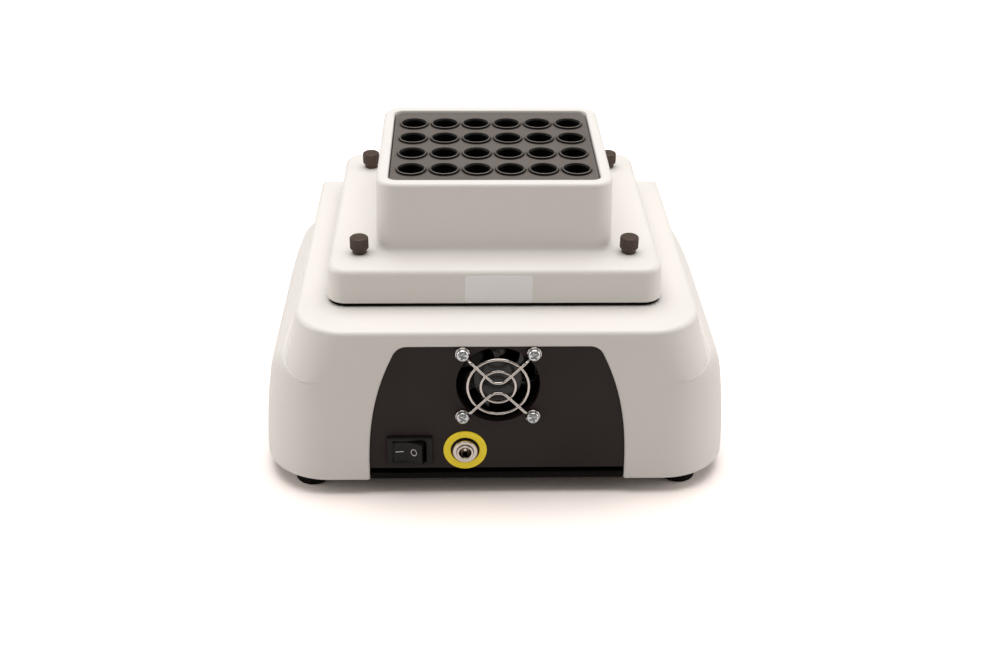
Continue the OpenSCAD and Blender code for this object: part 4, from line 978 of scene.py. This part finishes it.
# the knurl: the radius falls by a triangle wave of the angle, faded out at both ends of the head
def thumbPatches():
    r, low, high = thumb["r"], thumb["collar"], thumb["collar"] + thumb["tall"]
    profile = softened([(0, 0.02), (thumb["collarR"], 0.02), (thumb["collarR"], low), (r - 0.9, low + 0.02),
                        (r, low + 0.9), (r, high - 0.55), (r - 0.6, high), (1.2, high - 0.15), (0, high - 0.15)],
                       0.22, 4)
    grid = lathe(profile, thumb["teeth"] * 6)
    within = np.clip((profile[:, 1] - low - 0.7) / 0.3, 0, 1) * np.clip((high - 0.45 - profile[:, 1]) / 0.3, 0, 1)
    tooth = np.abs(((fullTurn(grid.shape[1]) * thumb["teeth"] / (2 * np.pi)) % 1) * 2 - 1)
    grid[..., :2] *= (1 - within[:, None] * (thumb["knurl"] / r) * tooth[None, :])[..., None]
    shank, long = thumb["shank"], thumb["long"]
    return [gridPatch(grid, closeAcross=True),
            turned([(0, -long), (shank - 0.05, -long), (shank, 0.6 - long), (shank, 0.1), (0, 0.1)], 32)]


for k, (x, y) in enumerate(thumbSpots):
    piece = meshObject(f"thumbscrew{k + 1}", moved(thumbPatches(), lambda p: p + (x, y, cover["flangeTop"])))
    settle(piece, materials["steelBlackOxide"], f"thumb_{k + 1}", [f"thumbscrew_{k + 1}"], sharp=45)


# feet: a turned pad with a recess for its screw

feet = dict(x=87.0, y=101.0, r=9.3, tall=8.8, bore=2.1, recess=4.1, recessHigh=5.8, draught=0.9, round=0.7)
footTop = feet["tall"] - 0.02
footProfile = softened([(feet["bore"], feet["recessHigh"]), (feet["recess"], feet["recessHigh"]),
                        (feet["recess"], 0.0), (feet["r"] - feet["draught"], 0.0), (feet["r"], footTop),
                        (feet["bore"], footTop), (feet["bore"], feet["recessHigh"])], feet["round"], 4)
for k, (sx, sy) in enumerate(fourCorners):
    foot = meshObject(f"foot{k + 1}", moved([turned(footProfile)], lambda p: p + (sx * feet["x"], sy * feet["y"], 0)))
    settle(foot, materials["rubberMoulded"], "base", ["feet"] if k == 0 else ())


# control panel on the slope

keypad = dict(width=136.0, height=52.0, thick=1.6, corner=4.0, edge=0.5, windowW=66.0, windowH=18.0, windowR=0.8,
              windowY=9.0, keyR=4.5, keyY=-14.0, keyTop=2.3, groupPitch=34.0, groupShift=1.27, keyPitch=13.0,
              runInset=14.0, gap=0.3, stem=1.5, stemDeep=4.75, skirt=5.5, skirtDeep=1.3, arrow=1.5, dot=1.3)
keyX = [(group - keypad["groupShift"]) * keypad["groupPitch"] + side * keypad["keyPitch"]
        for group in range(3) for side in (-0.5, 0.5)]
keyX.append(keypad["width"] / 2 - keypad["runInset"])


# the window's outline, made smaller all round by a gap
def windowPlate(gap, low, high, edge):
    outline = roundRect(keypad["windowW"] / 2 - gap, keypad["windowH"] / 2 - gap, keypad["windowR"], 6)
    return moved(plate(outline, low, high, edge), lambda p: onSlope(p, 0, keypad["windowY"]))


# patches made about Z, stood on the slope over one key's place
def atKey(patches, x):
    return moved(patches, lambda p: onSlope(p, x, keypad["keyY"]))


overlayOutline = roundRect(keypad["width"] / 2, keypad["height"] / 2, keypad["corner"], 12)
overlay = meshObject("keypadOverlay", moved(plate(overlayOutline, 0.0, keypad["thick"], keypad["edge"]), onSlope))
cutAway(overlay, meshObject("windowCutter", windowPlate(0, -1, keypad["thick"] + 1, 0.0)))
keyBore = keypad["keyR"] + keypad["gap"]
tube = closedTube(lathe([(keyBore, -1), (keyBore, keypad["thick"] + 1)], 48))
cutAway(overlay, meshObject("keyCutter", [patch for x in keyX for patch in atKey(tube, x)]))
settle(overlay, materials["filmKeypad"], "base", ["keypad"])
settle(meshObject("displayWindow", windowPlate(0.1, 0.01, keypad["thick"] - 0.2, 0.2)),
       materials["polycarbonateClear"], "base", ["display_window"])


# an arrow pointing up or down, or a round dot for the run key, printed on the cap
def keySign(kind):
    if kind == 0:
        return arc((0, 0), keypad["dot"], 0, 360, 33)[:-1]
    return keypad["arrow"] * np.array([(-1, -0.6 * kind), (1, -0.6 * kind), (0, kind)])


capTop = keypad["keyTop"]
cap = softened([(0, -keypad["stemDeep"]), (keypad["stem"], -keypad["stemDeep"]),
                (keypad["stem"], -keypad["skirtDeep"]), (keypad["skirt"], -keypad["skirtDeep"]),
                (keypad["skirt"], -0.1), (keypad["keyR"], -0.1),
                (keypad["keyR"], capTop - 0.15), (keypad["keyR"] - 1.6, capTop), (0, capTop - 0.15)], 0.45, 4)
for k, (x, kind) in enumerate(zip(keyX, (-1, 1, -1, 1, -1, 1, 0))):
    settle(meshObject(f"key{k + 1}Cap", atKey([turned(cap, 56)], x)), materials["siliconeKey"], f"button_{k + 1}",
           [f"key_{k + 1}"])
    ink = closedTube(np.stack([atHeight(keySign(kind), capTop - under) for under in (0.3, 0.05)]))
    settle(meshObject(f"key{k + 1}Sign", atKey(ink, x)), materials["filmKeypad"], f"button_{k + 1}")
print("keypad done")


# the CAD nodes that stay

kept = {
    "absPanelBlack": "rear_panel", "steelPowderBlack": "chassis", "nylonMouldedBlack": "fan_frame key_switches",
    "steelZincPlated": "chassis_screws foot_screws fan_nuts plate_posts block_screws board_posts",
    "steelGround": "main_bearing idler_bearings drive_shaft idler_crank_1 idler_crank_2 idler_crank_3 "
                   "idler_crank_4 crank_bearing",
    "aluminiumMilled": "motor_plate platform", "steelECoat": "motor", "brassTurned": "counterweight",
    "bronzeSintered": "platform_bushes", "siliconeSheet": "heating_mat", "brassNickelPlated": "sensor",
    "lcdPolariser": "display_module", "boardSolderMask": "control_board"}
dressed = [(node, materials[name]) for name, nodes in kept.items() for node in nodes.split()]
for node, material in dressed:
    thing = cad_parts[node]
    if not thing.data.materials:
        thing.data.materials.append(material)
    for k in range(len(thing.material_slots)):
        thing.material_slots[k].material = material
print("kept nodes finished:", len(dressed))


# floor, light and camera

studio = dict(floorHalf=1500, floorBounce="E4DEDC", floorLift=(1.41, 1.3, 1.24), worldLight=0.208,
              worldColour=(1.0, 0.93, 0.86, 1), keyPower=28.0, keySize=(1.7, 1.7), keyColour=(1.0, 0.99, 1.0),
              keyY=-0.26, keyHeight=1.6, sidePower=8.5, sideSize=(1.2, 1.0), sideColour=(1.0, 0.99, 0.98),
              sideX=1.6, sideZ=0.6)
view = dict(place=(0.017616, 0.617454, 0.378416), ahead=(-0.02735, -0.86520, -0.50068), roll=0.685,
            lens=48.12, sensor=36.0)


# the world is plain white to the camera and through glass, and a dim warm white as light
def makeWorld():
    world = bpy.data.worlds.new("studioWorld")
    world.use_nodes = True
    tree = world.node_tree
    tree.nodes.clear()
    path = addNode(tree, "ShaderNodeLightPath")
    seen = addNode(tree, "ShaderNodeMath", {0: path.outputs["Is Camera Ray"],
                                            1: path.outputs["Is Transmission Ray"]}, operation="MAXIMUM")
    light = addNode(tree, "ShaderNodeBackground", {"Color": studio["worldColour"], "Strength": studio["worldLight"]})
    white = addNode(tree, "ShaderNodeBackground", {"Color": (1, 1, 1, 1), "Strength": 1.0})
    both = addNode(tree, "ShaderNodeMixShader", {0: seen.outputs[0], 1: light.outputs[0], 2: white.outputs[0]})
    addNode(tree, "ShaderNodeOutputWorld", {"Surface": both.outputs[0]})
    bpy.context.scene.world = world


# the floor is matt and pale; the camera sees it lifted, so that only the shadow stays darker than white
def makeFloor():
    material = bpy.data.materials.new("paperSweep")
    material.use_nodes = True
    tree = material.node_tree
    tree.nodes.clear()
    path = addNode(tree, "ShaderNodeLightPath")
    matt = addNode(tree, "ShaderNodeBsdfDiffuse", {"Color": hexColour(studio["floorBounce"])})
    lifted = addNode(tree, "ShaderNodeBsdfDiffuse", {"Color": [*studio["floorLift"], 1]})
    mixed = addNode(tree, "ShaderNodeMixShader", {0: path.outputs["Is Camera Ray"], 1: matt.outputs[0],
                                                  2: lifted.outputs[0]})
    addNode(tree, "ShaderNodeOutputMaterial", {"Surface": mixed.outputs[0]})
    x = np.linspace(-studio["floorHalf"], studio["floorHalf"], 3)
    grid = np.stack(np.meshgrid(x, x, indexing="ij") + [np.zeros((3, 3))], -1)
    floor = meshObject("paperFloor", [gridPatch(grid)])
    floor.data.materials.append(material)


# a rectangle of light that faces its target
def areaLight(name, place, target, size, power, colour):
    data = bpy.data.lights.new(name, "AREA")
    data.shape = "RECTANGLE"
    data.size, data.size_y = size
    data.energy = power
    data.color = colour
    lamp = bpy.data.objects.new(name, data)
    bpy.context.scene.collection.objects.link(lamp)
    lamp.location = place
    lamp.rotation_euler = (Vector(target) - Vector(place)).to_track_quat("-Z", "Y").to_euler()


makeWorld()
makeFloor()
areaLight("overheadSoftbox", (0, studio["keyY"], studio["keyHeight"]), (0, 0, 0.08), studio["keySize"],
          studio["keyPower"], studio["keyColour"])
for side in (-1, 1):
    areaLight(f"sideSoftbox{'LR'[side > 0]}", (side * studio["sideX"], 0, studio["sideZ"]), (0, 0, 0.05),
              studio["sideSize"], studio["sidePower"], studio["sideColour"])

# the camera looks from behind and above; its axes are built from its direction and its roll
camera = bpy.data.cameras.new("camera")
camera.lens, camera.sensor_width, camera.clip_end = view["lens"], view["sensor"], 50.0
cameraObject = bpy.data.objects.new("camera", camera)
bpy.context.scene.collection.objects.link(cameraObject)
ahead = Vector(view["ahead"]).normalized()
level = ahead.cross(Vector((0, 0, 1))).normalized()
upward = level.cross(ahead)
roll = math.radians(view["roll"])
right = math.cos(roll) * level + math.sin(roll) * upward
up = math.cos(roll) * upward - math.sin(roll) * level
axes = [(right[k], up[k], -ahead[k], view["place"][k]) for k in range(3)]
cameraObject.matrix_world = Matrix(axes + [(0, 0, 0, 1)])
bpy.context.scene.camera = cameraObject
bpy.context.scene.view_settings.view_transform = "Standard"
print("studio done")

bpy.context.view_layer.update()
